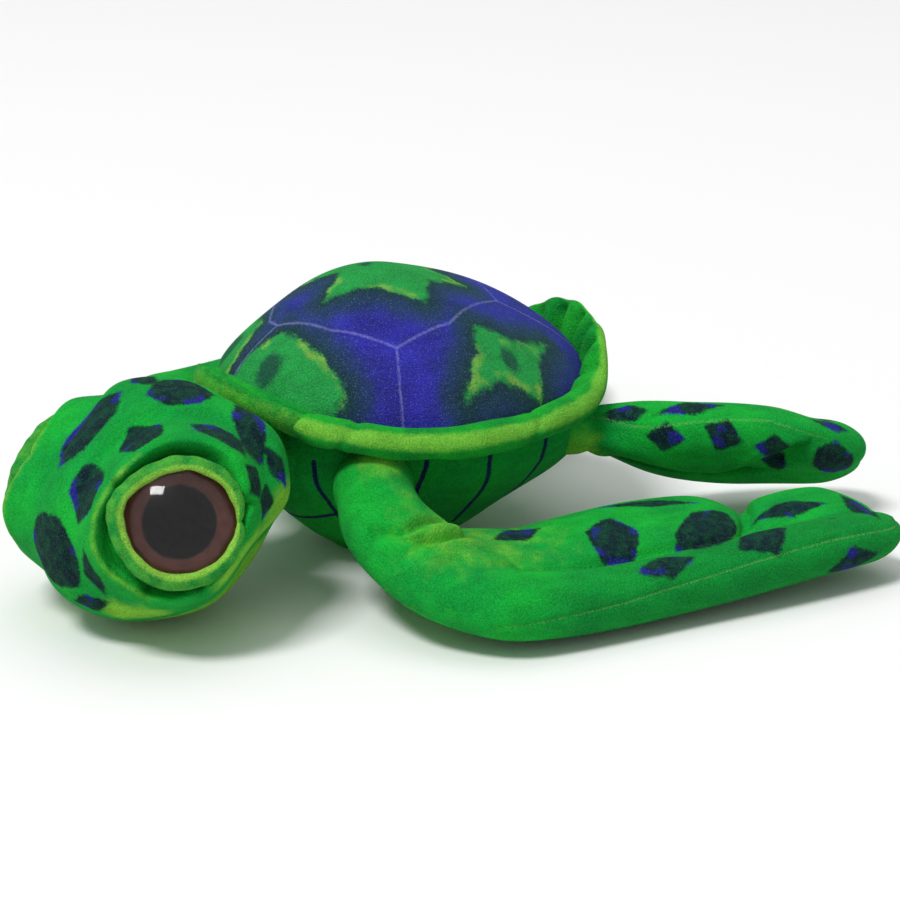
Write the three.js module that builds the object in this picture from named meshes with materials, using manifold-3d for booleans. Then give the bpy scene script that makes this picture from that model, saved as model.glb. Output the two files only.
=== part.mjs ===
// A plush sea turtle: a stuffed body under a padded, domed shell with a sewn rim, a head with two large
// clear toy eyes, two long front flippers that bend at the elbow, and two short rear flippers.
// Millimetres. It rests on its belly, looks along -Y, and its own left side is +X.
import * as THREE from "three";
import { mergeVertices } from "three/addons/utils/BufferGeometryUtils.js";
import Module from "manifold-3d";

const wasm = await Module();
wasm.setup();

// General values
const gap = 0.3; // clearance between neighbouring pieces
const overrun = 30; // how far a cutting tool passes the material
const degree = Math.PI / 180;
const ballSteps = 8; // facets from pole to pole of a ball
const bodyFacets = 32; // facets round the body and the shell
const headFacets = 28;
const limbFacets = 16;
const rollFacets = 10;
const eyeFacets = 24;

// Body: a stuffed bowl, deeper at the chest than at the tail
const bodyWidth = 100;
const bodyFront = 52; // from the rest point to the chest
const bodyRear = 68; // from the rest point to the tail end
const bodyDepth = 58; // belly to the padding under the shell
const bellyCut = 0.5; // the flat that it rests on
const bodyPower = 2.1;
const bodyWidthShares = [0.3, 0.48, 0.66, 0.8, 0.91, 0.98, 1, 0.96, 0.9];
const bodyFrontShares = [0.5, 0.66, 0.78, 0.87, 0.94, 0.98, 1, 0.98, 0.92];
const bodyRearShares = [0.28, 0.44, 0.6, 0.76, 0.89, 0.97, 1, 0.98, 0.92];

// Shell: a padded dome whose edge dips at the sides
const shellWidth = 106;
const shellFront = 60;
const shellRear = 66;
const shellSideLevel = 50; // height of the dome's edge at the sides
const shellFrontRise = 11;
const shellRearRise = 5;
const domeHeight = 37;
const domePower = 1.5; // under 2: a dome that comes to a soft peak
const peakForward = 10;

// Rim: a stuffed roll sewn round the edge of the shell, in four lengths
const rollRadius = 6.5;
const rollOffset = 4; // roll's middle outside the edge of the dome
const collarWidth = 11; // front length, flattened over the neck
const collarThickness = 7;
const collarOffset = 2;
const collarTilt = 52 * degree;
const brimWidth = 18.4; // rear length, a wide flap that stands up
const brimThickness = 8;
const brimOffset = 2.2;
const brimLift = 1.2;
const brimTilt = 80 * degree;
const collarSpan = 42 * degree; // either side of straight ahead
const brimSpan = 37 * degree; // either side of straight behind
const rollEndShares = [0.7, 0.97, 1, 1, 1, 1, 0.97, 0.7];
const brimEndShares = [0.45, 0.8, 0.95, 1, 1, 0.95, 0.8, 0.45];

// Head, turned to its left and bowed
const headWidth = 84;
const headFront = 45; // middle of the head to the beak
const headBack = 34;
const headHeight = 68;
const headTurn = 16 * degree;
const headBow = 28 * degree;
const headLean = -5 * degree; // its left side up
const neckAhead = 53; // neck joint's distance in front of the rest point
const neckAside = 7;
const neckLevel = 38;
const neckRadius = 15;
const headAhead = 41; // middle of the head in front of the neck joint
const headAside = 18;
const headDrop = 1;
const beakRise = 2;
const beakSpread = 15;
const beakDrop = 2;
// Where the stuffing of the head falls away: the place out, ahead and up as shares of half its width, its front
// length and half its height, then how deep and how wide as shares of half its width
const headHollowShares = [
  [0, 1, -0.12, 0.11, 0.52], // the front
  [0.62, 0.89, 0.18, 0.1, 0.31], // below the sockets
  [-0.62, 0.89, 0.18, 0.1, 0.31],
  [0.79, -0.11, -0.62, 0.13, 0.33], // the cheeks
  [-0.79, -0.11, -0.62, 0.13, 0.33],
];

// Eyes: a clear domed cap, a ring and a dark backing whose stem carries a lock washer in the stuffing
const eyeDiameter = 36;
const lensHeight = 9;
const lensBand = 1.2; // straight edge of the cap
const pupilDiameter = 21.8;
const irisThickness = 0.8;
const backingThickness = 1.6;
const stemDiameter = 5;
const stemLength = 15;
const washerDiameter = 18;
const washerThickness = 1.6;
const washerDepth = 8; // washer behind the backing
const eyeOutShare = 0.83; // of the head's half width
const eyeAheadShare = 0.29; // of the head's front length
const eyeUpShare = 0.36; // of the head's half height
const eyeTurn = 20 * degree; // its axis, ahead of straight sideways
const eyeLift = 29 * degree;

// Lids and the padded socket that carries them
const lidWidth = 9.5;
const lidThickness = 7;
const lidOverlap = 1.2; // a lid covers this much of the cap's edge
const lidLevel = 3.4; // middle of a lid above the seat of the cap
const socketRise = 8;
const socketSpread = 10.5;
const lidEndShares = [0.42, 0.8, 1, 1.04, 1, 0.8, 0.42];

// Front flippers
const shoulderAside = 45;
const shoulderAhead = 30;
const shoulderLevel = 34;
const shoulderRadius = 15.5;
const elbowOut = 40; // elbow joint from the shoulder joint
const elbowBack = 16;
const elbowDrop = 21;
const elbowRadius = 26;
const elbowThickness = 23;
const upperArmWidth = 33;
const upperArmThickness = 27;
const armBendOut = 20; // the middle of the upper arm's bend, from the shoulder joint
const armBendAhead = 4;
const armBendDrop = 12.6;
const armTuck = 0.8; // the tube is drawn in below the round end of the elbow
const bladeLength = 143;
const bladeWidth = 57;
const bladeThickness = 21;
const rightArmForward = 30 * degree; // the right front flipper lies further forward and higher
const rightArmLift = 6 * degree;
const rightSweep = -12 * degree;
// Lobes of a flipper. Ends are shares of the flipper's length and rounds are shares of the lobe's; the lobe's
// middle and section are shares of the flipper's half width and half thickness
const leadingLobeShares = {
  ends: [0.035, 0.99],
  rounds: [0.12, 0.16],
  out: [0.42, 0.59, 0.62, 0.625, 0.635, 0.65, 0.645, 0.59, 0.41],
  rise: [0.14, -0.02, -0.08, -0.08, -0.01, 0.08, 0.17, 0.22, 0.1],
  width: [0.51, 0.5, 0.5, 0.5, 0.505, 0.51, 0.485, 0.45, 0.38],
  thickness: [1.01, 0.93, 0.905, 0.885, 0.875, 0.85, 0.8, 0.7, 0.57],
  roll: [0, 0],
};
const webLobeShares = {
  ends: [0.02, 0.71],
  rounds: [0.2, 0.24],
  out: [-0.21, -0.21, -0.25, -0.3, -0.26, -0.21],
  rise: [0.14, 0.14, 0.17, 0.23, 0.13, -0.05],
  width: [0.56, 0.58, 0.68, 0.82, 0.79, 0.65],
  thickness: [0.81, 0.81, 0.86, 0.9, 0.84, 0.67],
  roll: [0, 0],
};
const tipLobeShares = {
  ends: [0.65, 0.99],
  rounds: [0.3, 0.4],
  out: [0.035, 0.105, 0.175, 0.245, 0.315],
  rise: [0.1, 0.19, 0.29, 0.29, 0.19],
  width: [0.46, 0.58, 0.61, 0.56, 0.42],
  thickness: [0.62, 0.76, 0.81, 0.76, 0.57],
  roll: [0, 0],
};

// Rear flippers
const hipAside = 36;
const hipBehind = 52;
const hipLevel = 37;
const hipRadius = 11;
const paddleLength = 101;
const paddleWidth = 51;
const paddleThickness = 22;
const leftSplay = 10 * degree;
const rightSplay = 42 * degree;
const paddleFall = 8 * degree;
const paddleRoll = 37 * degree; // outer edge up
const outerLobeShares = {
  ends: [0, 0.97],
  rounds: [0.05, 0.16],
  out: [0.08, 0.25, 0.35, 0.35, 0.28, 0.16, 0.04],
  rise: [0.18, 0.1, -0.02, -0.02, -0.02, -0.1, -0.18],
  width: [0.29, 0.39, 0.5, 0.52, 0.5, 0.45, 0.38],
  thickness: [0.68, 0.86, 0.89, 0.9, 0.86, 0.8, 0.67],
  roll: [0.8, 0.95, 0.95, 0.95, 0.95, 0.9, 0.8],
};
const innerLobeShares = {
  ends: [0.04, 0.99],
  rounds: [0.12, 0.16],
  out: [-0.08, -0.2, -0.39, -0.45, -0.35, -0.16, 0],
  rise: [0.27, 0.18, 0.05, 0, -0.05, -0.2, -0.2],
  width: [0.25, 0.37, 0.51, 0.57, 0.57, 0.53, 0.41],
  thickness: [0.55, 0.73, 0.84, 0.88, 0.88, 0.84, 0.68],
  roll: [0.8, 0.95, 0.95, 0.95, 0.95, 0.9, 0.8],
};
const tipLeastShare = 0.15; // of a lobe's section, left at its very end

const across = new THREE.Vector3(1, 0, 0);
const along = new THREE.Vector3(0, 1, 0);
const upward = new THREE.Vector3(0, 0, 1);

function makeMaterial(color, roughness) {
  return new THREE.MeshStandardMaterial({ color, roughness, metalness: 0 });
}

const skinPlush = makeMaterial("#2aa63c", 0.95);
const rimPlush = makeMaterial("#4fbd3f", 0.95);
const shellPlush = makeMaterial("#3b33a0", 0.95);
const lidPlush = makeMaterial("#86c23c", 0.95);
const clearPlastic = makeMaterial("#dfe4e6", 0.05);
clearPlastic.transparent = true;
clearPlastic.opacity = 0.3;
const brownPlastic = makeMaterial("#4a2f27", 0.3);
const blackPlastic = makeMaterial("#0c0a0b", 0.25);
const washerPlastic = makeMaterial("#d9d9d4", 0.5);

// Value at t, from 0 to 1, on a smooth line through evenly spaced shares.
function shareAt(shares, t) {
  const points = shares.map((share, i) => new THREE.Vector2(i, share));
  return new THREE.SplineCurve(points).getPoint(t).y;
}

// Points round a rounded outline; power 2 is an ellipse, more is squarer, less is more pointed.
function outline(centre, side, up, halfWidth, halfHeight, power, count) {
  return Array.from({ length: count }, (_, i) => {
    const c = Math.cos((2 * Math.PI * i) / count);
    const s = Math.sin((2 * Math.PI * i) / count);
    const u = Math.sign(c) * Math.abs(c) ** (2 / power) * halfWidth;
    const v = Math.sign(s) * Math.abs(s) ** (2 / power) * halfHeight;
    return centre.clone().addScaledVector(side, u).addScaledVector(up, v);
  });
}

// A closed surface through rings of points, each ring turning the same way about the line it runs along.
function loft(rings) {
  const count = rings[0].length;
  const middle = (ring) => ring.reduce((sum, p) => sum.add(p), new THREE.Vector3()).divideScalar(count);
  const points = [...rings.flat(), middle(rings[0]), middle(rings[rings.length - 1])];
  const firstMiddle = points.length - 2;
  const lastRing = (rings.length - 1) * count;
  const faces = [];
  for (let i = 0; i < count; i++) {
    const j = (i + 1) % count;
    for (let start = 0; start < lastRing; start += count) {
      faces.push(start + i, start + j, start + count + j);
      faces.push(start + i, start + count + j, start + count + i);
    }
    faces.push(firstMiddle, j, i);
    faces.push(firstMiddle + 1, lastRing + i, lastRing + j);
  }
  return new THREE.BufferGeometry().setFromPoints(points).setIndex(faces);
}

// A geometry as a solid, with shared corners merged, slivers dropped and its faces turned outwards.
function solidOf(geometry) {
  const bare = geometry.clone();
  bare.deleteAttribute("normal");
  bare.deleteAttribute("uv");
  const merged = mergeVertices(bare);
  const build = (flip) => {
    const triVerts = [];
    for (let i = 0; i < merged.index.count; i += 3) {
      const [a, b, c] = [0, 1, 2].map((k) => merged.index.getX(i + k));
      if (a !== b && b !== c && c !== a) triVerts.push(a, flip ? c : b, flip ? b : c);
    }
    return new wasm.Manifold(
      new wasm.Mesh({
        numProp: 3,
        vertProperties: new Float32Array(merged.attributes.position.array),
        triVerts: new Uint32Array(triVerts),
      }),
    );
  };
  const solid = build(false);
  return solid.volume() < 0 ? build(true) : solid;
}

function geometryOf(solid) {
  const mesh = solid.getMesh();
  const geometry = new THREE.BufferGeometry();
  geometry.setAttribute("position", new THREE.BufferAttribute(new Float32Array(mesh.vertProperties), 3));
  geometry.setIndex(new THREE.BufferAttribute(new Uint32Array(mesh.triVerts), 1));
  geometry.computeVertexNormals();
  return geometry;
}

function ball(radius, centre) {
  return solidOf(new THREE.SphereGeometry(radius, 2 * ballSteps, ballSteps).translate(...centre));
}

// A ball that clears another of the given radius at every turn, facets included.
function socketBall(radius, centre) {
  return ball((radius + gap) / Math.cos(Math.PI / (2 * ballSteps)) ** 2, centre);
}

// A profile of [radius, height] pairs turned about the Z axis.
function turned(profile, steps) {
  const points = profile.map(([radius, height]) => new THREE.Vector2(radius, height));
  return solidOf(new THREE.LatheGeometry(points, steps).rotateX(Math.PI / 2));
}

function addMesh(parent, name, solid, material) {
  const mesh = new THREE.Mesh(geometryOf(solid), material);
  mesh.name = name;
  parent.add(mesh);
  return mesh;
}

// The largest of the separate bodies that a cut leaves.
function largest(solid) {
  return solid.decompose().sort((a, b) => b.volume() - a.volume())[0];
}

// The same solid on the other side of the turtle.
function mirrored(solid) {
  return solidOf(geometryOf(solid).scale(-1, 1, 1));
}

// Places on the turtle
const shoulder = new THREE.Vector3(shoulderAside, -shoulderAhead, shoulderLevel);
const hip = new THREE.Vector3(hipAside, hipBehind, hipLevel);
const neckPlace = new THREE.Vector3(neckAside, -neckAhead, neckLevel);
const otherSide = new THREE.Vector3(-1, 1, 1);

function bodyForm(grow) {
  const steps = 10;
  const rings = [];
  for (let k = 0; k <= steps; k++) {
    const t = k / steps;
    const front = bodyFront * shareAt(bodyFrontShares, t) + grow;
    const rear = bodyRear * shareAt(bodyRearShares, t) + grow;
    const halfWidth = (bodyWidth / 2) * shareAt(bodyWidthShares, t) + grow;
    const centre = new THREE.Vector3(0, (rear - front) / 2, t * (bodyDepth + bellyCut) - bellyCut);
    rings.push(outline(centre, across, along, halfWidth, (rear + front) / 2, bodyPower, bodyFacets));
  }
  return solidOf(loft(rings));
}

// Height of the shell's edge at an angle round it, 0 at the left side and a quarter turn at the rear.
function shellEdge(angle) {
  const s = Math.sin(angle);
  return shellSideLevel + s * s * (s < 0 ? shellFrontRise : shellRearRise);
}

function shellForm(grow) {
  const steps = 8;
  const rings = [];
  const middleY = (shellRear - shellFront) / 2;
  for (let k = 0; k < steps; k++) {
    const turn = (k / steps) * (Math.PI / 2);
    const spread = Math.cos(turn) ** (2 / domePower);
    const rise = Math.sin(turn) ** (2 / domePower);
    const centre = new THREE.Vector3(0, middleY - peakForward * rise * rise, 0);
    const halfWidth = (shellWidth / 2) * spread + grow;
    const halfLength = ((shellFront + shellRear) / 2) * spread + grow;
    const ring = outline(centre, across, along, halfWidth, halfLength, bodyPower, bodyFacets);
    ring.forEach((point, i) => {
      const edge = shellEdge((2 * Math.PI * i) / ring.length);
      const peak = shellSideLevel + (shellFrontRise + shellRearRise) / 2;
      point.z = edge + (peak - edge) * rise + domeHeight * rise + (k ? grow : -grow);
    });
    rings.push(ring);
  }
  return solidOf(loft(rings));
}

// A point on the middle line of the rim, offset outwards and up from the edge of the shell.
function rimPoint(angle, outwards, upwards) {
  const c = Math.cos(angle);
  const s = Math.sin(angle);
  const halfLength = (shellFront + shellRear) / 2 + outwards;
  const x = (shellWidth / 2 + outwards) * Math.sign(c) * Math.abs(c) ** (2 / bodyPower);
  const y = (shellRear - shellFront) / 2 + halfLength * Math.sign(s) * Math.abs(s) ** (2 / bodyPower);
  return new THREE.Vector3(x, y, shellEdge(angle) + upwards);
}

// One length of the rim between two angles; tilt raises the outer edge of its section.
function rimLength(from, to, halfWidth, halfThickness, offset, lift, tilt, endShares) {
  const steps = 14;
  const rings = [];
  for (let k = 0; k <= steps; k++) {
    const t = k / steps;
    const angle = from + (to - from) * t;
    const share = shareAt(endShares, t);
    const centre = rimPoint(angle, offset + lift * Math.cos(tilt) * share, lift * Math.sin(tilt) * share);
    const ahead = rimPoint(angle + degree, offset, 0).sub(rimPoint(angle - degree, offset, 0));
    ahead.normalize();
    const out = new THREE.Vector3().crossVectors(ahead, upward).normalize();
    const up = new THREE.Vector3().crossVectors(out, ahead);
    const side = out.clone().applyAxisAngle(ahead, tilt);
    const top = up.clone().applyAxisAngle(ahead, tilt);
    rings.push(outline(centre, top, side, halfThickness * share, halfWidth * share, 2, rollFacets).reverse());
  }
  return solidOf(loft(rings));
}

function addBody(turtle, keepClear) {
  const shell = shellForm(0);
  const clearShell = shellForm(gap);
  const floor = new THREE.BoxGeometry(bodyWidth + overrun, 2 * bodyRear + overrun, overrun);
  const body = bodyForm(0)
    .subtract(solidOf(floor.translate(0, 0, -overrun / 2)))
    .subtract(clearShell)
    .subtract(keepClear);
  addMesh(turtle, "torso", body, skinPlush);
  addMesh(turtle, "carapace", shell.subtract(keepClear), shellPlush);

  const front = -Math.PI / 2;
  const rear = Math.PI / 2;
  const seam = gap / shellWidth; // half the gap between two lengths, as an angle
  const clearBody = bodyForm(gap);
  const seated = (length) => length.subtract(clearShell).subtract(clearBody).subtract(keepClear);
  const collarOf = (grow) =>
    rimLength(
      front - collarSpan,
      front + collarSpan,
      collarWidth / 2 + grow,
      collarThickness / 2 + grow,
      collarOffset,
      0,
      collarTilt,
      rollEndShares,
    );
  const brimOf = (grow) =>
    rimLength(
      rear - brimSpan,
      rear + brimSpan,
      brimWidth / 2 + grow,
      brimThickness / 2 + grow,
      brimOffset,
      brimLift,
      brimTilt,
      brimEndShares,
    );
  const rollOf = (from, to) => rimLength(from, to, rollRadius, rollRadius, rollOffset, 0, 0, rollEndShares);
  const leftRoll = rollOf(front + collarSpan + seam, rear - brimSpan - seam)
    .subtract(collarOf(gap))
    .subtract(brimOf(gap));
  addMesh(turtle, "rim_left_roll", largest(seated(leftRoll)), rimPlush);
  addMesh(turtle, "rim_right_roll", largest(seated(mirrored(leftRoll))), rimPlush);
  addMesh(turtle, "rim_front_collar", largest(seated(collarOf(0))), rimPlush);
  addMesh(turtle, "rim_rear_brim", largest(seated(brimOf(0))), rimPlush);
}

// Eye places in the head's own frame, where x is its left and -y is ahead
function eyeFrame(sign) {
  const place = new THREE.Vector3(
    (sign * eyeOutShare * headWidth) / 2,
    -eyeAheadShare * headFront,
    (eyeUpShare * headHeight) / 2,
  );
  const axis = new THREE.Vector3(
    sign * Math.cos(eyeTurn) * Math.cos(eyeLift),
    -Math.sin(eyeTurn) * Math.cos(eyeLift),
    Math.sin(eyeLift),
  );
  const turn = new THREE.Quaternion().setFromUnitVectors(upward, axis);
  return { place, axis, turn, matrix: new THREE.Matrix4().compose(place, turn, new THREE.Vector3(1, 1, 1)) };
}

// A bump that falls away smoothly with distance.
const bump = (distance, spread) => Math.exp(-((distance / spread) ** 2));

function headForm(grow) {
  const rows = 18;
  const count = headFacets;
  const eyes = [eyeFrame(1), eyeFrame(-1)];
  const beak = new THREE.Vector3(0, -headFront, -beakDrop);
  const beakAxis = beak.clone().normalize();
  const rings = [];
  for (let k = 1; k < rows; k++) {
    const turn = (k / rows) * Math.PI;
    const ring = [];
    for (let i = 0; i < count; i++) {
      const angle = (2 * Math.PI * i) / count;
      const y = Math.cos(turn);
      const point = new THREE.Vector3(
        (headWidth / 2 + grow) * Math.sin(turn) * Math.sin(angle),
        (y < 0 ? headFront : headBack) * y + grow * y,
        (headHeight / 2 + grow) * Math.sin(turn) * Math.cos(angle),
      );
      const push = new THREE.Vector3();
      for (const eye of eyes) {
        const from = point.clone().sub(eye.place);
        const height = from.dot(eye.axis);
        const away = from.addScaledVector(eye.axis, -height).length();
        const near = THREE.MathUtils.smoothstep(height, -eyeDiameter, -eyeDiameter / 4);
        push.addScaledVector(eye.axis, socketRise * near * bump(away - eyeDiameter / 2, socketSpread));
      }
      push.addScaledVector(beakAxis, beakRise * bump(point.distanceTo(beak), beakSpread));
      for (const [out, ahead, up, depth, width] of headHollowShares) {
        const middle = new THREE.Vector3((out * headWidth) / 2, -ahead * headFront, (up * headHeight) / 2);
        const sink = (headWidth / 2) * depth * bump(point.distanceTo(middle), (headWidth / 2) * width);
        push.addScaledVector(middle.normalize(), -sink);
      }
      ring.push(point.add(push));
    }
    rings.push(ring);
  }
  return solidOf(loft(rings));
}

const eyeRadius = eyeDiameter / 2;
const backingTop = -irisThickness - gap;
const backingBottom = backingTop - backingThickness;
const washerTop = backingBottom - washerDepth;

// The clear cap's outline, grown all round for what is cut to clear it.
function lensForm(grow) {
  const capHeight = lensHeight - lensBand;
  const domeRadius = (eyeRadius ** 2 + capHeight ** 2) / (2 * capHeight);
  const half = Math.asin(eyeRadius / domeRadius);
  const steps = 5;
  const profile = [
    [0, gap - grow],
    [eyeRadius + grow, gap - grow],
  ];
  for (let k = 0; k <= steps; k++) {
    const turn = half * (1 - k / steps);
    const height = gap + lensBand + (Math.cos(turn) - Math.cos(half)) * domeRadius;
    profile.push([k < steps ? (domeRadius + grow) * Math.sin(turn) : 0, height + grow]);
  }
  return turned(profile, eyeFacets);
}

// The hollow in the head for one eye: the seat, the stem's hole and the washer's pocket.
function eyeHollow() {
  const hole = stemDiameter / 2 + gap;
  const pocket = washerDiameter / 2 + gap;
  const pocketBottom = backingBottom - stemLength - gap;
  return turned(
    [
      [0, pocketBottom],
      [pocket, pocketBottom],
      [pocket, washerTop + gap],
      [hole, washerTop + gap],
      [hole, backingBottom - gap],
      [eyeRadius + gap, backingBottom - gap],
      [eyeRadius + gap, overrun],
      [0, overrun],
    ],
    eyeFacets,
  );
}

function lidForm(from, to) {
  const steps = 12;
  const rings = [];
  const ringRadius = eyeRadius - lidOverlap + lidWidth / 2;
  for (let k = 0; k <= steps; k++) {
    const angle = from + ((to - from) * k) / steps;
    const share = shareAt(lidEndShares, k / steps);
    const out = new THREE.Vector3(Math.cos(angle), Math.sin(angle), 0);
    const centre = out.clone().multiplyScalar(ringRadius).setZ(lidLevel);
    rings.push(outline(centre, upward, out, (lidThickness / 2) * share, (lidWidth / 2) * share, 2, rollFacets));
  }
  return solidOf(loft(rings));
}

function addEye(head, name, sign, clearHead) {
  const eye = eyeFrame(sign);
  const group = new THREE.Group();
  group.position.copy(eye.place);
  group.quaternion.copy(eye.turn);
  head.add(group);
  const pupil = pupilDiameter / 2;
  const stem = stemDiameter / 2;
  addMesh(group, name + "_eye_lens", lensForm(0), clearPlastic);
  const iris = [
    [pupil, -irisThickness],
    [eyeRadius, -irisThickness],
    [eyeRadius, 0],
    [pupil, 0],
    [pupil, -irisThickness],
  ];
  addMesh(group, name + "_eye_iris", turned(iris, eyeFacets), brownPlastic);
  const backing = [
    [0, backingBottom - stemLength],
    [stem, backingBottom - stemLength],
    [stem, backingBottom],
    [eyeRadius, backingBottom],
    [eyeRadius, backingTop],
    [pupil - gap, backingTop],
    [pupil - gap, 0],
    [0, 0],
  ];
  addMesh(group, name + "_eye_backing", turned(backing, eyeFacets), blackPlastic);
  const washer = [
    [stem + gap, washerTop - washerThickness],
    [washerDiameter / 2, washerTop - 2 * washerThickness],
    [washerDiameter / 2, washerTop - washerThickness],
    [stem + gap, washerTop],
    [stem + gap, washerTop - washerThickness],
  ];
  addMesh(group, name + "_eye_washer", turned(washer, eyeFacets), washerPlastic);

  const clearLens = lensForm(gap);
  const corner = gap / eyeDiameter; // half the gap between the two lids, as an angle
  const lids = [
    ["_upper_lid", corner, Math.PI - corner],
    ["_lower_lid", Math.PI + corner, 2 * Math.PI - corner],
  ];
  const roll = new THREE.Quaternion().setFromAxisAngle(upward, lidTurn(eye));
  const place = new THREE.Matrix4().makeRotationFromQuaternion(roll).premultiply(eye.matrix);
  for (const [part, from, to] of lids) {
    const lid = lidForm(from, to).subtract(clearLens);
    const placed = solidOf(geometryOf(lid).applyMatrix4(place)).subtract(clearHead);
    addMesh(head, name + part, largest(placed), lidPlush);
  }
}

// The turn about the eye's axis that puts the upper lid on top.
function lidTurn(eye) {
  const flatUp = upward.clone().addScaledVector(eye.axis, -eye.axis.z).normalize();
  const local = flatUp.applyQuaternion(eye.turn.clone().invert());
  return Math.atan2(local.y, local.x) - Math.PI / 2;
}

function addHead(turtle) {
  const head = new THREE.Group();
  head.position.copy(neckPlace).add(new THREE.Vector3(headAside, -headAhead, -headDrop));
  head.rotation.set(headBow, headLean, headTurn, "ZXY");
  turtle.add(head);
  head.updateMatrix();
  const neckInHead = neckPlace.clone().applyMatrix4(head.matrix.clone().invert());
  let form = headForm(0).subtract(socketBall(neckRadius, neckInHead.toArray()));
  for (const sign of [1, -1]) {
    const hollow = geometryOf(eyeHollow()).applyMatrix4(eyeFrame(sign).matrix);
    form = form.subtract(solidOf(hollow));
  }
  addMesh(head, "head", form, skinPlush);
  const clearHead = headForm(gap);
  addEye(head, "left", 1, clearHead);
  addEye(head, "right", -1, clearHead);
  addMesh(turtle, "neck", ball(neckRadius, neckPlace.toArray()), skinPlush);
}

// The upper arm: a ball in the body's socket, a short bent tube, and a flat round end at the elbow.
function upperArmForm(grow) {
  const elbow = new THREE.Vector3(elbowOut, elbowBack, -elbowDrop);
  const bend = new THREE.Vector3(armBendOut, -armBendAhead, -armBendDrop);
  const path = new THREE.QuadraticBezierCurve3(new THREE.Vector3(), bend, elbow);
  const steps = 6;
  const rings = [];
  for (let k = 0; k <= steps; k++) {
    const t = k / steps;
    const ahead = path.getTangent(t);
    const side = new THREE.Vector3().crossVectors(ahead, upward).normalize();
    const up = new THREE.Vector3().crossVectors(side, ahead);
    const swell = 1 - t * (1 - elbowThickness / upperArmThickness);
    const halfHeight = (upperArmThickness / 2) * swell - armTuck;
    rings.push(outline(path.getPoint(t), side, up, upperArmWidth / 2 + grow, halfHeight + grow, 2, limbFacets));
  }
  const disc = new THREE.SphereGeometry(elbowRadius + grow, eyeFacets, ballSteps).rotateX(Math.PI / 2);
  disc.scale(1, 1, (elbowThickness / 2 + grow) / (elbowRadius + grow)).translate(...elbow);
  return ball(shoulderRadius + grow, [0, 0, 0]).add(solidOf(loft(rings))).add(solidOf(disc));
}

// Share of the full section at t on a lobe whose last length, as a share, is rounded off.
function tipShare(t, length) {
  const into = Math.max(0, (t - 1 + length) / length);
  return tipLeastShare + (1 - tipLeastShare) * Math.sqrt(Math.max(0, 1 - into * into));
}

// One stuffed lobe of a flipper that runs back from its joint.
function lobeForm(shares, length, width, thickness, roll) {
  const steps = 10;
  const rings = [];
  const [from, to] = shares.ends;
  const [rootRound, tipRound] = shares.rounds;
  for (let k = 0; k <= steps; k++) {
    const t = (1 - Math.cos((Math.PI * k) / steps)) / 2;
    const turn = -roll * shareAt(shares.roll, t);
    const side = across.clone().applyAxisAngle(along, turn);
    const up = upward.clone().applyAxisAngle(along, turn);
    const close = tipShare(t, tipRound) * tipShare(1 - t, rootRound);
    const centre = new THREE.Vector3(0, length * (from + (to - from) * t), 0)
      .addScaledVector(side, (width / 2) * shareAt(shares.out, t))
      .addScaledVector(up, (thickness / 2) * shareAt(shares.rise, t));
    const halfWidth = (width / 2) * shareAt(shares.width, t) * close;
    const halfHeight = (thickness / 2) * shareAt(shares.thickness, t) * close;
    rings.push(outline(centre, up, side, halfHeight, halfWidth, 2, limbFacets));
  }
  return solidOf(loft(rings));
}

// The blade: a thick leading lobe, a web behind it and a round tip past a notch, cut round the end of the arm.
function bladeForm(sweep) {
  const [leading, web, tip] = [leadingLobeShares, webLobeShares, tipLobeShares].map((shares) =>
    lobeForm(shares, bladeLength, bladeWidth, bladeThickness, 0),
  );
  const clearArm = geometryOf(upperArmForm(gap)).translate(-elbowOut, -elbowBack, elbowDrop).rotateZ(sweep);
  return largest(leading.add(web).add(tip).subtract(solidOf(clearArm)));
}

function addFrontFlipper(turtle, name, sign, forward, lift, sweep) {
  const arm = new THREE.Group();
  arm.position.copy(shoulder);
  arm.rotation.set(0, -sign * lift, -sign * forward, "ZXY");
  const upperArm = upperArmForm(0);
  const blade = bladeForm(sweep);
  const elbow = new THREE.Group();
  elbow.position.set(sign * elbowOut, elbowBack, -elbowDrop);
  elbow.rotation.z = -sign * sweep;
  if (sign < 0) arm.position.multiply(otherSide);
  addMesh(arm, name + "_upper_arm", sign < 0 ? mirrored(upperArm) : upperArm, skinPlush);
  addMesh(elbow, name + "_flipper_blade", sign < 0 ? mirrored(blade) : blade, skinPlush);
  arm.add(elbow);
  turtle.add(arm);
}

// A rear flipper: two lobes side by side, rolled together so that the outer one lies on top.
function rearFlipperForm() {
  const [outer, inner] = [outerLobeShares, innerLobeShares].map((shares) =>
    lobeForm(shares, paddleLength, paddleWidth, paddleThickness, paddleRoll),
  );
  return ball(hipRadius, [0, 0, 0]).add(outer).add(inner);
}

function addRearFlipper(turtle, name, sign, splay) {
  const root = new THREE.Group();
  root.position.copy(hip);
  if (sign < 0) root.position.multiply(otherSide);
  root.rotation.set(-paddleFall, 0, -sign * splay, "ZXY");
  const form = rearFlipperForm();
  addMesh(root, name + "_rear_flipper", sign < 0 ? mirrored(form) : form, skinPlush);
  turtle.add(root);
}

const turtle = new THREE.Group();
const sockets = [
  [shoulder, shoulderRadius],
  [shoulder.clone().multiply(otherSide), shoulderRadius],
  [hip, hipRadius],
  [hip.clone().multiply(otherSide), hipRadius],
  [neckPlace, neckRadius],
]
  .map(([place, radius]) => socketBall(radius, place.toArray()))
  .reduce((all, socket) => all.add(socket));
addBody(turtle, sockets);
addHead(turtle);
addFrontFlipper(turtle, "left", 1, 0, 0, 0);
addFrontFlipper(turtle, "right", -1, rightArmForward, rightArmLift, rightSweep);
addRearFlipper(turtle, "left", 1, leftSplay);
addRearFlipper(turtle, "right", -1, rightSplay);

export default turtle;
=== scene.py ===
import math
import bmesh
import bpy
import numpy as np
from mathutils import Matrix, Vector


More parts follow.
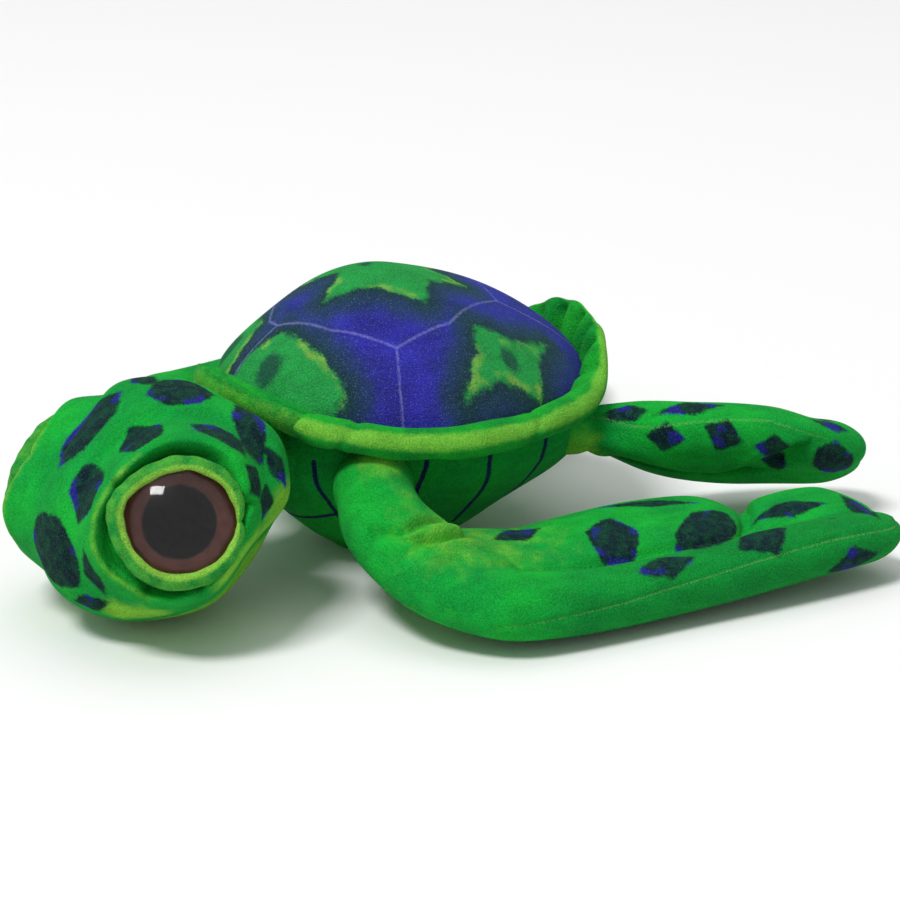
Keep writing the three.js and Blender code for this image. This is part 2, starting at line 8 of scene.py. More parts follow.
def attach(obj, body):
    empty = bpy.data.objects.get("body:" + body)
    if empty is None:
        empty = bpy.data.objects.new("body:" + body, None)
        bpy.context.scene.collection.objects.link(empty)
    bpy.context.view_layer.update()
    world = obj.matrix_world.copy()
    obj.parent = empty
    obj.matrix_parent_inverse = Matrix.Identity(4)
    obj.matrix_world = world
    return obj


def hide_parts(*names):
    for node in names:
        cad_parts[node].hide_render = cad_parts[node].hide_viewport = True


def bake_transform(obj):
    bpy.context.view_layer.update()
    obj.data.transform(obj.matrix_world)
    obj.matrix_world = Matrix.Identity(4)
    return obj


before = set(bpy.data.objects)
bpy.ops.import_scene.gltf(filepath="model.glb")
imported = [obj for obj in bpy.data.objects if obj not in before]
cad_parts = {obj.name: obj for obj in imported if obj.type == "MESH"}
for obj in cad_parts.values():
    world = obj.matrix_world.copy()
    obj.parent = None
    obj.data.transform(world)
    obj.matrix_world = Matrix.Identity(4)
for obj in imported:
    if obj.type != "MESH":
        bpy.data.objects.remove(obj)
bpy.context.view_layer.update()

# Torso. The stuffed belly of the turtle: a bowl of short green velour, deeper at the chest than at the tail,
# sewn to the padded shell round its top and pressed flat where it rests. Thin navy lines are printed on its
# sides.
body_width = 0.100
body_front = 0.052  # from the rest point to the chest
body_rear = 0.068
body_depth = 0.058
belly_cut = 0.0005
body_power = 2.1
body_width_shares = [0.28, 0.44, 0.60, 0.76, 0.89, 0.97, 1, 0.96, 0.9]  # from the belly up, by even steps
body_front_shares = [0.42, 0.61, 0.76, 0.87, 0.94, 0.98, 1, 0.98, 0.92]
body_rear_shares = [0.28, 0.42, 0.57, 0.73, 0.87, 0.97, 1, 0.98, 0.92]
mirrored = np.array([-1, 1, 1])


def mm(values):
    """Lengths written in millimetres, in metres."""
    return np.array(values, float) / 1000


def full_turn(count):
    return np.linspace(0, 2 * math.pi, count, endpoint=False)


def unit(vectors):
    """The vectors with length 1."""
    return vectors / np.linalg.norm(vectors, axis=-1, keepdims=True)


def smooth_line(shares, t):
    """The value at t, from 0 to 1, on a smooth line through evenly spaced shares."""
    shares = np.asarray(shares, float)
    last = len(shares) - 1
    place = np.clip(t, 0, 1) * last
    start = np.minimum(place.astype(int), last - 1)
    w = place - start
    a, b, c, d = (shares[np.clip(start + k, 0, last)] for k in (-1, 0, 1, 2))
    v0, v1 = (c - a) / 2, (d - b) / 2
    return (2 * b - 2 * c + v0 + v1) * w**3 + (-3 * b + 3 * c - 2 * v0 - v1) * w**2 + v0 * w + b


def rounded(value, power):
    """Cosine or sine bent towards a squarer outline, or a more pointed one for a power under 2."""
    return np.sign(value) * np.abs(value) ** (2 / power)


def step_between(value, low, high):
    """0 below low, 1 above high and a smooth rise between them."""
    w = np.clip((value - low) / (high - low), 0, 1)
    return w * w * (3 - 2 * w)


def lumps(points, size, seed):
    """Uneven stuffing: a smooth random swell between about -1 and 1, with lumps of the given size."""
    draw = np.random.default_rng(seed)
    total = np.zeros(len(points))
    for _ in range(7):
        direction = draw.normal(size=3)
        direction *= 2 * math.pi / (size * np.linalg.norm(direction) * draw.uniform(0.7, 1.6))
        total += np.sin(points @ direction + draw.uniform(0, 2 * math.pi))
    return total / 3


def linked(name, data):
    made = bpy.data.objects.new(name, data)
    bpy.context.scene.collection.objects.link(made)
    return made


def smooth_piece(name, mesh):
    mesh.polygons.foreach_set("use_smooth", [True] * len(mesh.polygons))
    mesh.update()
    return linked(name, mesh)


def sewn(name, points, faces):
    """A piece from points and faces."""
    mesh = bpy.data.meshes.new(name)
    mesh.from_pydata([tuple(p) for p in points], [], faces)
    return smooth_piece(name, mesh)


def skin_of(name, rings):
    """A closed skin through rings of points, each ring turning the same way."""
    rows, count = rings.shape[:2]
    points = np.vstack([rings.reshape(-1, 3), rings[0].mean(0), rings[-1].mean(0)])
    row, i = np.meshgrid(np.arange(rows - 1), np.arange(count), indexing="ij")
    j = (i + 1) % count
    quads = np.stack([row * count + i, row * count + j, (row + 1) * count + j, (row + 1) * count + i], -1)
    faces = quads.reshape(-1, 4).tolist()
    i = np.arange(count)
    j = (i + 1) % count
    last = (rows - 1) * count
    faces += np.stack([np.full(count, rows * count), j, i], -1).tolist()
    faces += np.stack([np.full(count, rows * count + 1), last + i, last + j], -1).tolist()
    piece = sewn(name, points, faces)
    if signed_volume(piece) < 0:
        piece.data.flip_normals()
    return piece


def signed_volume(piece):
    piece.data.calc_loop_triangles()
    corners = np.empty(len(piece.data.loop_triangles) * 3, int)
    piece.data.loop_triangles.foreach_get("vertices", corners)
    a, b, c = points_of(piece)[corners.reshape(-1, 3)].transpose(1, 0, 2)
    return np.einsum("ij,ij->i", a, np.cross(b, c)).sum() / 6


def points_of(piece, what="co"):
    values = np.empty(len(piece.data.vertices) * 3)
    piece.data.vertices.foreach_get(what, values)
    return values.reshape(-1, 3)


def normals_of(piece):
    return points_of(piece, "normal")


def place_points(piece, points):
    piece.data.vertices.foreach_set("co", np.asarray(points, float).ravel())
    piece.data.update()


def swollen(piece, swell):
    """The points of a piece, each moved out along the fabric's normal."""
    return points_of(piece) + normals_of(piece) * swell[:, None]


def mark(piece, name, values):
    """Writes one number for each point, which the dyed cloth's material reads."""
    attribute = piece.data.attributes.new(name, "FLOAT", "POINT")
    values = np.broadcast_to(np.asarray(values, np.float32), len(piece.data.vertices))
    attribute.data.foreach_set("value", values)


def dyed(piece, material, spot=-9.0, line=-9.0, lime_and_painted_light=0.0, seam=-9.0):
    """Dresses a piece: how far inside a spot, a printed line or a seam's thread each point lies, in
    millimetres, and its share of yellow-green, which also carries painted highlight, and painted shade where
    it falls below 0. Each point's rest place is kept too, so that pile and dye stay put when the fabric
    bends."""
    piece.data.materials.append(material)
    attribute = piece.data.attributes.new("lay", "FLOAT_VECTOR", "POINT")
    attribute.data.foreach_set("vector", (points_of(piece) * 1000).astype(np.float32).ravel())
    for name, values in (("spot", spot), ("line", line), ("lime_and_painted_light", lime_and_painted_light), ("seam", seam)):
        mark(piece, name, values)


def inside_lines(points, lines, width=0.0):
    """Millimetres inside the nearest printed line, each an array of points that it runs through."""
    nearest = np.full(len(points), 1.0)
    for line in lines:
        for start, end in zip(line[:-1], line[1:]):
            along = end - start
            share = np.clip((points - start) @ along / max(along @ along, 1e-12), 0, 1)
            nearest = np.minimum(nearest, np.linalg.norm(points - start - share[:, None] * along, axis=1))
    return (width / 2 - nearest) * 1000


def dye(red, green, blue):
    """A colour from its values between 0 and 255."""
    return (*(((value / 255 + 0.055) / 1.055) ** 2.4 for value in (red, green, blue)), 1)


class Dyer:
    """Adds shader nodes to the tree of one material or world."""

    def __init__(self, tree):
        self.tree = tree
        self.place = None  # what the grain follows

    def node(self, kind, inputs, **settings):
        """Adds a node, with a value or another node's output for each input, and gives its first output."""
        made = self.tree.nodes.new("ShaderNode" + kind)
        for key, value in settings.items():
            setattr(made, key, value)
        for key, value in inputs.items():
            if isinstance(value, bpy.types.NodeSocket):
                self.tree.links.new(value, made.inputs[key])
            else:
                made.inputs[key].default_value = value
        return made.outputs[0]

    def reading(self, name, output="Fac"):
        """What a piece carries at each point under a name."""
        return self.node("Attribute", {}, attribute_name=name).node.outputs[output]

    def grain(self, size, detail=2.0):
        """Smooth random values round a half, in grains of a size in the units of the place."""
        return self.node("TexNoise", {"Vector": self.place, "Scale": 1 / size, "Detail": detail})

    def rise(self, value, low, high):
        """0 below low, 1 above high and a smooth rise between."""
        inputs = {"Value": value, "From Min": low, "From Max": high}
        return self.node("MapRange", inputs, interpolation_type="SMOOTHSTEP")

    def plus(self, first, second, share):
        return self.node("Math", {0: second, 1: share, 2: first}, operation="MULTIPLY_ADD")

    def times(self, first, second):
        return self.node("Math", {0: first, 1: second}, operation="MULTIPLY")

    def printed(self, share, below, over):
        """One colour printed over another."""
        return self.node("Mix", {0: share, 6: below, 7: over}, data_type="RGBA").node.outputs[2]


def material_of(name):
    """A new material, with its dyer and its surface."""
    material = bpy.data.materials.new(name)
    material.use_nodes = True
    return material, Dyer(material.node_tree), material.node_tree.nodes["Principled BSDF"]


def velour(name, paint, fibre, specks):
    """Short-pile plush. paint(cloth) makes its printed colour, fibre is the colour of its bare pile and
    specks is how strongly that shows."""
    material, cloth, surface = material_of(name)
    cloth.place = lay = cloth.reading("lay", "Vector")
    colour = paint(cloth)
    # The pile is stroked one way.
    cloth.place = cloth.node("VectorMath", {0: lay, 1: (1, 0.4, 1)}, operation="MULTIPLY")
    brushed = cloth.grain(4.5, 3.0)
    cloth.place = lay
    shade = cloth.plus(0.74, cloth.rise(brushed, 0.32, 0.68), 0.22)
    tufts = cloth.grain(0.55, 3.0)
    shade = cloth.plus(shade, cloth.rise(tufts, 0.28, 0.7), 0.42)
    colour = cloth.node("VectorMath", {0: colour, "Scale": shade}, operation="SCALE")
    ends = cloth.rise(cloth.grain(0.38, 1.0), 0.56, 0.76)
    colour = cloth.printed(cloth.times(ends, specks), colour, fibre)
    cloth.tree.links.new(colour, surface.inputs["Base Color"])
    surface.inputs["Roughness"].default_value = 0.95
    surface.inputs["Specular IOR Level"].default_value = 0.1
    surface.inputs["Sheen Weight"].default_value = 0.08
    surface.inputs["Sheen Roughness"].default_value = 0.5
    surface.inputs["Sheen Tint"].default_value = dye(120, 220, 130)
    pile = cloth.plus(tufts, brushed, 0.8)
    bump = cloth.node("Bump", {"Height": pile, "Strength": 0.8, "Distance": 0.0010})
    cloth.tree.links.new(bump, surface.inputs["Normal"])
    return material


def skin_paint(cloth):
    """Green, yellower where the mark is high, which is partly the fabric's tone and partly painted highlight,
    and darker green where it falls below 0, which is painted shade; with dark spots whose edges are indigo in
    places, thin navy lines and pale stitches."""
    colour = cloth.printed(cloth.rise(cloth.grain(24.0), 0.3, 0.7), dye(8, 150, 58), dye(20, 174, 54))
    lime_and_painted_light = cloth.plus(cloth.reading("lime_and_painted_light"), cloth.grain(5.0, 3.0), 0.6)
    # Yellow-green from the mark: the fabric's tone, and painted highlight on the socket crests and flipper
    # webs.
    colour = cloth.printed(cloth.rise(lime_and_painted_light, 0.5, 1.15), colour, dye(128, 196, 58))
    # Painted shade: a darker green where the mark falls below 0, on the torso under the rim and on the
    # flippers' leading lobes.
    colour = cloth.printed(cloth.rise(cloth.reading("lime_and_painted_light"), -0.05, -0.5), colour, dye(6, 128, 50))
    spot = cloth.plus(cloth.reading("spot"), cloth.grain(2.6), 1.5)
    spot = cloth.plus(cloth.plus(spot, cloth.grain(0.7), 1.1), -0.6, 1.0)  # its edge is frayed by the pile
    middle = cloth.printed(cloth.rise(cloth.grain(3.0, 3.0), 0.4, 0.66), dye(8, 28, 42), dye(14, 58, 46))
    patches = cloth.times(cloth.rise(cloth.grain(8.0, 1.0), 0.56, 0.64), cloth.rise(spot, 3.4, 1.6))
    middle = cloth.printed(patches, middle, dye(34, 30, 128))
    colour = cloth.printed(cloth.rise(spot, -0.5, 0.6), colour, middle)
    line = cloth.plus(cloth.reading("line"), cloth.grain(0.7), 0.5)
    colour = cloth.printed(cloth.rise(line, 0.0, 0.5), colour, dye(12, 26, 76))
    stitches = cloth.rise(cloth.grain(0.6, 0.0), 0.38, 0.5)
    beside = cloth.node("Math", {0: cloth.reading("seam")}, operation="ABSOLUTE")
    thread = cloth.times(cloth.rise(beside, 0.5, 0.1), stitches)
    return cloth.printed(cloth.times(thread, 0.45), colour, dye(112, 176, 96))


skin_velour = velour("skin_velour", skin_paint, dye(120, 186, 140), 0.17)
line_width = 0.0017
torso_lines = [mm(line) for line in (
    [(47.2, -11.9, 48), (47.2, -11.9, 43.9), (45.8, -13.7, 35.7), (40, -15, 23)],
    [(49.7, 8.9, 48), (49.7, 8.9, 42.2), (47, 9.8, 31.6), (41, 8.3, 22.6), (30, 7, 10)],
    [(47, 31, 48), (47, 31, 42.3), (45.9, 30.6, 36.2), (43.2, 28.9, 30.5), (33, 26, 16)],
    [(27.3, -41.3, 42), (27.3, -41.3, 32.8), (27.5, -37.7, 27.1), (26.4, -34.7, 22.4), (23, -29, 14)],
    [(-25.7, -34.5, 21.4), (-3.8, -40.4, 14.6), (3.8, -40.4, 14.6), (25.7, -34.5, 21.4), (40, -20, 23)],
)]
torso_lines += [line * mirrored for line in torso_lines[:4]]
torso_rows = 121
torso_columns = 420
torso_lump_height = 0.0007
torso_lump_size = 0.045

t = np.linspace(0, 1, torso_rows)[:, None]
angle = full_turn(torso_columns)[None, :]
front = body_front * smooth_line(body_front_shares, t)
rear = body_rear * smooth_line(body_rear_shares, t)
half_width = body_width / 2 * smooth_line(body_width_shares, t)
x = half_width * rounded(np.cos(angle), body_power)
y = (rear - front) / 2 + (rear + front) / 2 * rounded(np.sin(angle), body_power)
z = np.broadcast_to(np.maximum(t * (body_depth + belly_cut) - belly_cut, 0), x.shape)
torso = skin_of("torso_skin", np.stack([x, y, z], -1))
points = points_of(torso)
swell = torso_lump_height * lumps(points, torso_lump_size, 3)
place_points(torso, swollen(torso, swell * step_between(points[:, 2], 0.0, 0.012)))
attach(torso, "body")
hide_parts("torso")


def laid_on(points, line, steps=30):
    """A line laid on the fabric: its nearest points, evened out."""
    share = np.linspace(0, len(line) - 1, steps)
    along = np.stack([np.interp(share, range(len(line)), line[:, k]) for k in range(3)], -1)
    laid = points[[np.argmin(np.linalg.norm(points - step, axis=1)) for step in along]]
    for _ in range(3):
        laid[1:-1] = (laid[:-2] + laid[1:-1] * 2 + laid[2:]) / 4
    return laid


points = points_of(torso)
laid_lines = [laid_on(points, line) for line in torso_lines]
# Painted shade: darker green towards the top of the torso, under the rim; a little yellow-green low down.
dyed(torso, skin_velour, line=inside_lines(points, laid_lines, line_width), lime_and_painted_light=0.25 - points[:, 2] * 12)

# Shell. A padded dome of printed velour, purple with a green star in each scute, which comes to a soft peak
# ahead of its middle. Its edge dips at the sides and is tucked into the rim.
shell_width = 0.106
shell_front = 0.060
shell_rear = 0.066
shell_side_level = 0.050
shell_front_rise = 0.011
shell_rear_rise = 0.005
dome_height = 0.037
dome_power = 1.5
peak_forward = 0.010


def shell_edge(angle):
    s = np.sin(angle)
    return shell_side_level + s * s * np.where(s < 0, shell_front_rise, shell_rear_rise)


# Pale seams between the scutes and the stars inside them, in plan.
scute_lines = [mm(line) for line in (
    [(33.1, -15.5), (19.7, -32.3), (3, -43), (-3, -43), (-19.7, -32.3), (-33.1, -15.5)],
    [(33.1, -15.5), (29.7, 5.2), (12.4, 31.8), (-12.4, 31.8), (-29.7, 5.2), (-33.1, -15.5)],
    [(33.1, -15.5), (41.6, -18.8), (47.8, -21), (54, -23.2)],
    [(-33.1, -15.5), (-41.6, -18.8), (-47.8, -21), (-54, -23.2)],
    [(3, -43), (1, -62)],
    [(12.4, 31.8), (18, 68)],
    [(-12.4, 31.8), (-18, 68)],
)]
middle_star = mm([
    (9, -29), (12.3, -14), (22, 0.5), (12, 7), (9.5, 21.5), (0, 13), (-9.5, 21.5), (-12, 7), (-22, 0.5),
    (-12.3, -14), (-9, -29), (0, -19),
])
rear_star = mm([
    (30.2, 13.3), (33.5, 27), (27.1, 42.5), (38.5, 33), (47.5, 29), (45, 15), (48.8, 0.4), (38.5, 10.5),
])
front_star = mm([(7, -44.2), (19, -40), (37.9, -35.1), (37, -48), (20, -64), (3, -64), (3, -54)])
scute_marks = mm([(0, -10, 2.2), (39.6, 21.6, 3.2), (14.7, -51.5, 4.2)])  # x, y and radius
seam_width = 0.0001
dome_rows = 130
dome_columns = 480
dome_lump_height = 0.0006
dome_lump_size = 0.05
dome_dents = mm([(-26, -38, 1.4, 30), (18, 40, 1.7, 28)])  # x, y, depth and spread


def bump_at(distance, spread):
    """A soft bump that falls away with distance."""
    return np.exp(-((distance / spread) ** 2))


def inside_outline(places, corners):
    """Millimetres inside a closed outline in plan, negative outside."""
    edge = inside_lines(places, [np.vstack([corners, corners[:1]])])
    crossings = np.zeros(len(places), bool)
    for (x0, y0), (x1, y1) in zip(corners, np.roll(corners, -1, axis=0)):
        if y0 != y1:
            beside = places[:, 0] < x0 + (places[:, 1] - y0) * (x1 - x0) / (y1 - y0)
            crossings ^= ((y0 > places[:, 1]) != (y1 > places[:, 1])) & beside
    return np.where(crossings, -edge, edge)


def shell_paint(cloth):
    """Purple, with a green star in a dark halo in each scute, lime at parts of its edge, and pale seams."""
    speck = cloth.grain(0.8)
    colour = cloth.printed(cloth.rise(cloth.grain(9.0), 0.3, 0.7), dye(42, 40, 138), dye(50, 46, 168))
    star = cloth.plus(cloth.reading("star"), cloth.grain(5.0), 4.0)
    star = cloth.plus(star, speck, 2.2)
    colour = cloth.printed(cloth.times(cloth.rise(star, -8.5, -1.5), 0.9), colour, dye(34, 58, 88))
    colour = cloth.printed(cloth.rise(star, -2.5, 2.4), colour, dye(26, 56, 64))
    colour = cloth.printed(cloth.rise(star, 1.9, 4.2), colour, dye(34, 152, 68))
    lime = cloth.times(cloth.rise(star, 2.4, 3.8), cloth.rise(star, 6.2, 4.0))
    lime = cloth.times(lime, cloth.rise(cloth.grain(9.0), 0.46, 0.66))
    colour = cloth.printed(cloth.times(lime, 0.7), colour, dye(140, 186, 72))
    spot = cloth.plus(cloth.reading("spot"), cloth.grain(2.0), 2.4)
    colour = cloth.printed(cloth.times(cloth.rise(spot, 0.0, 2.6), 0.85), colour, dye(24, 66, 60))
    seam = cloth.plus(cloth.reading("line"), speck, 0.7)
    return cloth.printed(cloth.times(cloth.rise(seam, -0.3, 0.6), 0.6), colour, dye(140, 142, 220))


shell_velour = velour("shell_velour", shell_paint, dye(150, 172, 190), 0.26)

turn = np.linspace(0, 0.985, dome_rows)[:, None] * math.pi / 2  # nearly up to the peak
angle = full_turn(dome_columns)[None, :]
spread = np.cos(turn) ** (2 / dome_power)
rise = np.sin(turn) ** (2 / dome_power)
peak = shell_side_level + (shell_front_rise + shell_rear_rise) / 2
x = shell_width / 2 * spread * rounded(np.cos(angle), body_power)
y = (shell_rear - shell_front) / 2 - peak_forward * rise**2
y = y + (shell_front + shell_rear) / 2 * spread * rounded(np.sin(angle), body_power)
z = shell_edge(angle) * (1 - rise) + (peak + dome_height) * rise
dome = skin_of("shell_dome", np.stack([x, y, np.broadcast_to(z, x.shape)], -1))
points = points_of(dome)
swell = dome_lump_height * lumps(points, dome_lump_size, 5)
for x, y, dent, spread in dome_dents:
    swell -= dent * bump_at(np.linalg.norm(points[:, :2] - (x, y), axis=1), spread)
place_points(dome, swollen(dome, swell))
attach(dome, "body")
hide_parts("carapace")
plan = points_of(dome)[:, :2]
half_plan = np.abs(plan) * (1, 0) + plan * (0, 1)  # the print is the same on both sides
star = np.full(len(plan), -99.0)
for outline in (middle_star, rear_star, front_star):
    star = np.maximum(star, inside_outline(half_plan, outline))
scute_mark = np.full(len(plan), -99.0)
for x, y, radius in scute_marks:
    scute_mark = np.maximum(scute_mark, (radius - np.linalg.norm(half_plan - (x, y), axis=1)) * 1000)
dyed(dome, shell_velour, spot=scute_mark, line=inside_lines(plan, scute_lines, seam_width))
mark(dome, "star", star)

# Rim. One stuffed roll of velour sewn round the shell's edge. It is round along the sides, and opens behind
# into a wide flap that flares up and puckers on its inner face. Over the neck a separate collar laps it.
roll_radius = 0.0051
roll_lift = 0.0007
roll_offset = 0.0036
brim_half_width = 0.0112
brim_half_thickness = 0.004
brim_offset = 0.0014
brim_lift = 0.0036
brim_tilt = math.radians(80)
brim_span = math.radians(37)
collar_span = math.radians(42)
roll_overlap = 0.12  # how far its ends reach under the collar
slump_place = (-0.044, -0.046)  # where the far front of the rim is pressed in and down
slump_spread = 0.022
slump_move = (0.0045, 0.0035, -0.0135)
rim_rows = 800
rim_columns = 64
collar_rows = 150
collar_columns = 48


def bump_round(points, place, spread):
    return bump_at(np.linalg.norm(points - np.asarray(place), axis=1), spread)


def narrowed(from_end, length, least):
    """Rounds off an end: 1 further from it than length, and down to least at the end itself."""
    return least + (1 - least) * np.sqrt(1 - np.clip((length - from_end) / length, 0, 1) ** 2)


def slumped(points):
    """Points of the rim, pressed in and down where it gives way."""
    return points + np.outer(bump_round(points[:, :2], slump_place, slump_spread), slump_move)


def rim_line(angle, outwards, upwards):
    """A point on the rim's middle line, offset outwards and up from the edge of the shell."""
    c, s = np.cos(angle), np.sin(angle)
    x = (shell_width / 2 + outwards) * rounded(c, body_power)
    y = (shell_rear - shell_front) / 2 + ((shell_front + shell_rear) / 2 + outwards) * rounded(s, body_power)
    return np.stack([x, y, shell_edge(angle) + upwards], -1)


def tube_rings(centres, sides, ups, half_widths, half_heights, power, count):
    """Rings of points round a line of centres."""
    section = full_turn(count)
    wide = half_widths[:, None] * rounded(np.cos(section), power)
    high = half_heights[:, None] * rounded(np.sin(section), power)
    return centres[:, None] + sides[:, None] * wide[..., None] + ups[:, None] * high[..., None]


def for_points(values, count):
    """Values given for each ring of a skin, repeated for all of its points."""
    return np.append(np.repeat(values, count), (0, 0))


def rim_skin(name, angle, half_width, half_thickness, offset, lift, tilt, count):
    """One length of the rim, with its section angles. Tilt raises the outer edge of its section."""
    ahead = unit(rim_line(angle + 0.01, offset, 0) - rim_line(angle - 0.01, offset, 0))
    out = unit(np.cross(ahead, (0, 0, 1)))
    up = np.cross(out, ahead)
    c, s = np.cos(np.reshape(tilt, (-1, 1))), np.sin(np.reshape(tilt, (-1, 1)))
    centre = rim_line(angle, offset, lift)
    rings = tube_rings(centre, out * c + up * s, up * c - out * s, half_width, half_thickness, 2, count)
    return skin_of(name, rings), np.append(np.tile(full_turn(count), len(angle)), (0, 0))


def rim_paint(cloth):
    """Green, with a yellow-green crest."""
    drift = cloth.rise(cloth.grain(14.0), 0.38, 0.62)
    colour = cloth.printed(drift, dye(10, 138, 48), dye(26, 164, 46))
    lime_and_painted_light = cloth.plus(cloth.reading("lime_and_painted_light"), cloth.grain(4.0), 0.7)
    lime_and_painted_light = cloth.plus(lime_and_painted_light, cloth.grain(0.9), 0.45)
    return cloth.printed(cloth.rise(lime_and_painted_light, 0.62, 1.7), colour, dye(116, 192, 62))


rim_velour = velour("rim_velour", rim_paint, dye(150, 205, 130), 0.15)
crest_angle = 0.43  # above straight outwards
brim_creases = [38, 52, 63, 74, 84, 95, 106, 119, 133]  # degrees round the shell where the brim is gathered
roll_creases = [-38, 14, 160, 218]
gather_depth = 0.0040
crease_depth = 0.0007
roll_lump_height = 0.0005
roll_lump_size = 0.018

from_angle = -math.pi / 2 + collar_span - roll_overlap
to_angle = 1.5 * math.pi - collar_span + roll_overlap
angle = np.linspace(from_angle, to_angle, rim_rows)
degrees = np.degrees(angle)
aside = angle - math.pi / 2
brim = 1 - step_between(np.abs(aside) + 0.1 * np.sign(aside), brim_span * 0.5, brim_span * 1.2)
close = narrowed(np.minimum(angle - from_angle, to_angle - angle), 0.16, 0.1)
gathers = sum(bump_at(degrees - at, 2.4) for at in brim_creases)
puffs = 1 - 0.07 * sum(bump_at(degrees - at, 4.5) for at in brim_creases) * brim
half_width = (roll_radius + brim * (brim_half_width - roll_radius)) * close * puffs
half_width += brim * (0.0027 * bump_at(degrees - 92, 16) - 0.0042 * bump_at(degrees - 118, 18))
half_thickness = (roll_radius + brim * (brim_half_thickness - roll_radius)) * close
offset = roll_offset + np.sqrt(brim) * (brim_offset - roll_offset)
lift = roll_lift + (brim_lift - roll_lift) * brim
tilt = brim_tilt * np.sqrt(brim)
rim, section = rim_skin("rim_roll", angle, half_width, half_thickness, offset, lift, tilt, rim_columns)
around = for_points(degrees, rim_columns)
flare = for_points(brim, rim_columns)
inner = step_between(np.sin(section), 0.0, 0.8)  # the face towards the shell
pulled = gather_depth * for_points(gathers, rim_columns) * inner * flare
creases = sum(bump_at(around - at - 2.5 * np.sin(section), 1.6) for at in roll_creases)
pulled += crease_depth * creases * (1 - flare)
swell = roll_lump_height * lumps(points_of(rim), roll_lump_size, 7)
place_points(rim, slumped(swollen(rim, swell - pulled)))
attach(rim, "body")
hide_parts("rim_left_roll", "rim_right_roll", "rim_rear_brim")
crest = crest_angle - 1.08 * flare
lime_and_painted_light = step_between(np.cos(section - crest), 0.68 - 0.13 * flare, 1.02) - 1.2 * inner * flare
dyed(rim, rim_velour, lime_and_painted_light=lime_and_painted_light)

collar_half_width = 0.006608
collar_half_thickness = 0.0049
collar_offset = 0.001
collar_tilt = math.radians(52)
collar_fold = 0.0026  # depth of the fold that runs along it, higher and lower by turns
collar_ridge = 0.0008  # beside the fold
collar_lump_height = 0.0009
collar_lump_size = 0.016
angle = np.linspace(-math.pi / 2 - collar_span, -math.pi / 2 + collar_span, collar_rows)
close = narrowed(collar_span - np.abs(angle + math.pi / 2), 0.14, 0.15)
shape = (collar_half_width * close, collar_half_thickness * close, collar_offset, 0, collar_tilt)
collar, section = rim_skin("rim_collar", angle, *shape, collar_columns)
lap = section - 0.45 - 0.3 * np.sin(3 * for_points(angle, collar_columns))
swell = collar_lump_height * lumps(points_of(collar), collar_lump_size, 9)
swell += collar_ridge * bump_at(lap + 0.9, 0.6) - collar_fold * bump_at(lap, 0.32)
place_points(collar, slumped(swollen(collar, swell)))
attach(collar, "body")
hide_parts("rim_front_collar")
dyed(collar, rim_velour, lime_and_painted_light=0.5 * step_between(np.cos(section + 0.9), 0.3, 1.0))

# Neck. A short neck of green velour, stuffed and gathered into folds between the torso and the head. It turns
# in both.
neck_place = np.array([0.007, -0.053, 0.038])
neck_radius = 0.018
neck_fold_across = 0.0011  # folds round the neck
neck_fold_along = 0.0008  # and gathers along it


def globe(name, level):
    """A ball of even facets with radius 1."""
    mesh = bpy.data.meshes.new(name)
    ball = bmesh.new()
    bmesh.ops.create_icosphere(ball, subdivisions=level, radius=1)
    ball.to_mesh(mesh)
    ball.free()
    return smooth_piece(name, mesh)


neck = globe("neck_skin", 6)
points = points_of(neck)
fold = neck_fold_across * np.cos(points[:, 1] * 9)
fold += neck_fold_along * np.sin(np.arctan2(points[:, 2], points[:, 0]) * 7)
place_points(neck, neck_place + points * (neck_radius + fold)[:, None])
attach(neck, "neck")
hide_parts("neck")
dyed(neck, skin_velour)

# Head. A stuffed ball of velour with a blunt beak, and round each eye a thick fold that stands up like a
# cushioned socket. It is turned to its left and bowed.
head_width = 0.084
head_front = 0.045
head_back = 0.034
head_height = 0.068
head_turn = math.radians(16)
head_bow = math.radians(28)
head_lean = math.radians(-5)
head_place = neck_place + (0.018, -0.041, -0.001)
# Swells of the head's stuffing, and hollows where it falls away: middle, rise and spread, in millimetres.
paired_swells = [
    (27, 25, 7, 7.5, 16),  # a full cheek behind each eye
    (26, -40, 6, -4.2, 13),  # below the sockets
    (33, 5, -21, -5.6, 14),
    (16, -28, -23, -1.8, 15),  # throat
]
single_swells = [
    (0, -45, -2, 2, 15),  # beak
    (0, 26, 24, 4.04384, 17),  # behind the eyes
    (-12, 12, 31, 2.6, 11),
    (36, 21, -10, 2.8, 9),
    (0, -45, -4, -4.6, 22),  # across the front
]
eye_diameter = 0.036
eye_out_share = 0.83
eye_ahead_share = 0.29
eye_up_share = 0.36
eye_turn = math.radians(20)
eye_lift = math.radians(29)
bow_and_lean = Matrix.Rotation(head_bow, 3, "X") @ Matrix.Rotation(head_lean, 3, "Y")
head_frame = np.array(Matrix.Rotation(head_turn, 3, "Z") @ bow_and_lean)


def relax(piece, rounds):
    """Evens the fabric out and keeps its volume."""
    points = points_of(piece)
    edges = np.empty(len(piece.data.edges) * 2, int)
    piece.data.edges.foreach_get("vertices", edges)
    a, b = edges.reshape(-1, 2).T
    count = len(points)
    neighbours = np.bincount(a, minlength=count) + np.bincount(b, minlength=count)
    for _ in range(rounds):
        for factor in (0.5, -0.52):
            total = np.zeros_like(points)
            for k in range(3):
                total[:, k] = np.bincount(a, points[b, k], count) + np.bincount(b, points[a, k], count)
            points = points + factor * (total / neighbours[:, None] - points)
    place_points(piece, points)


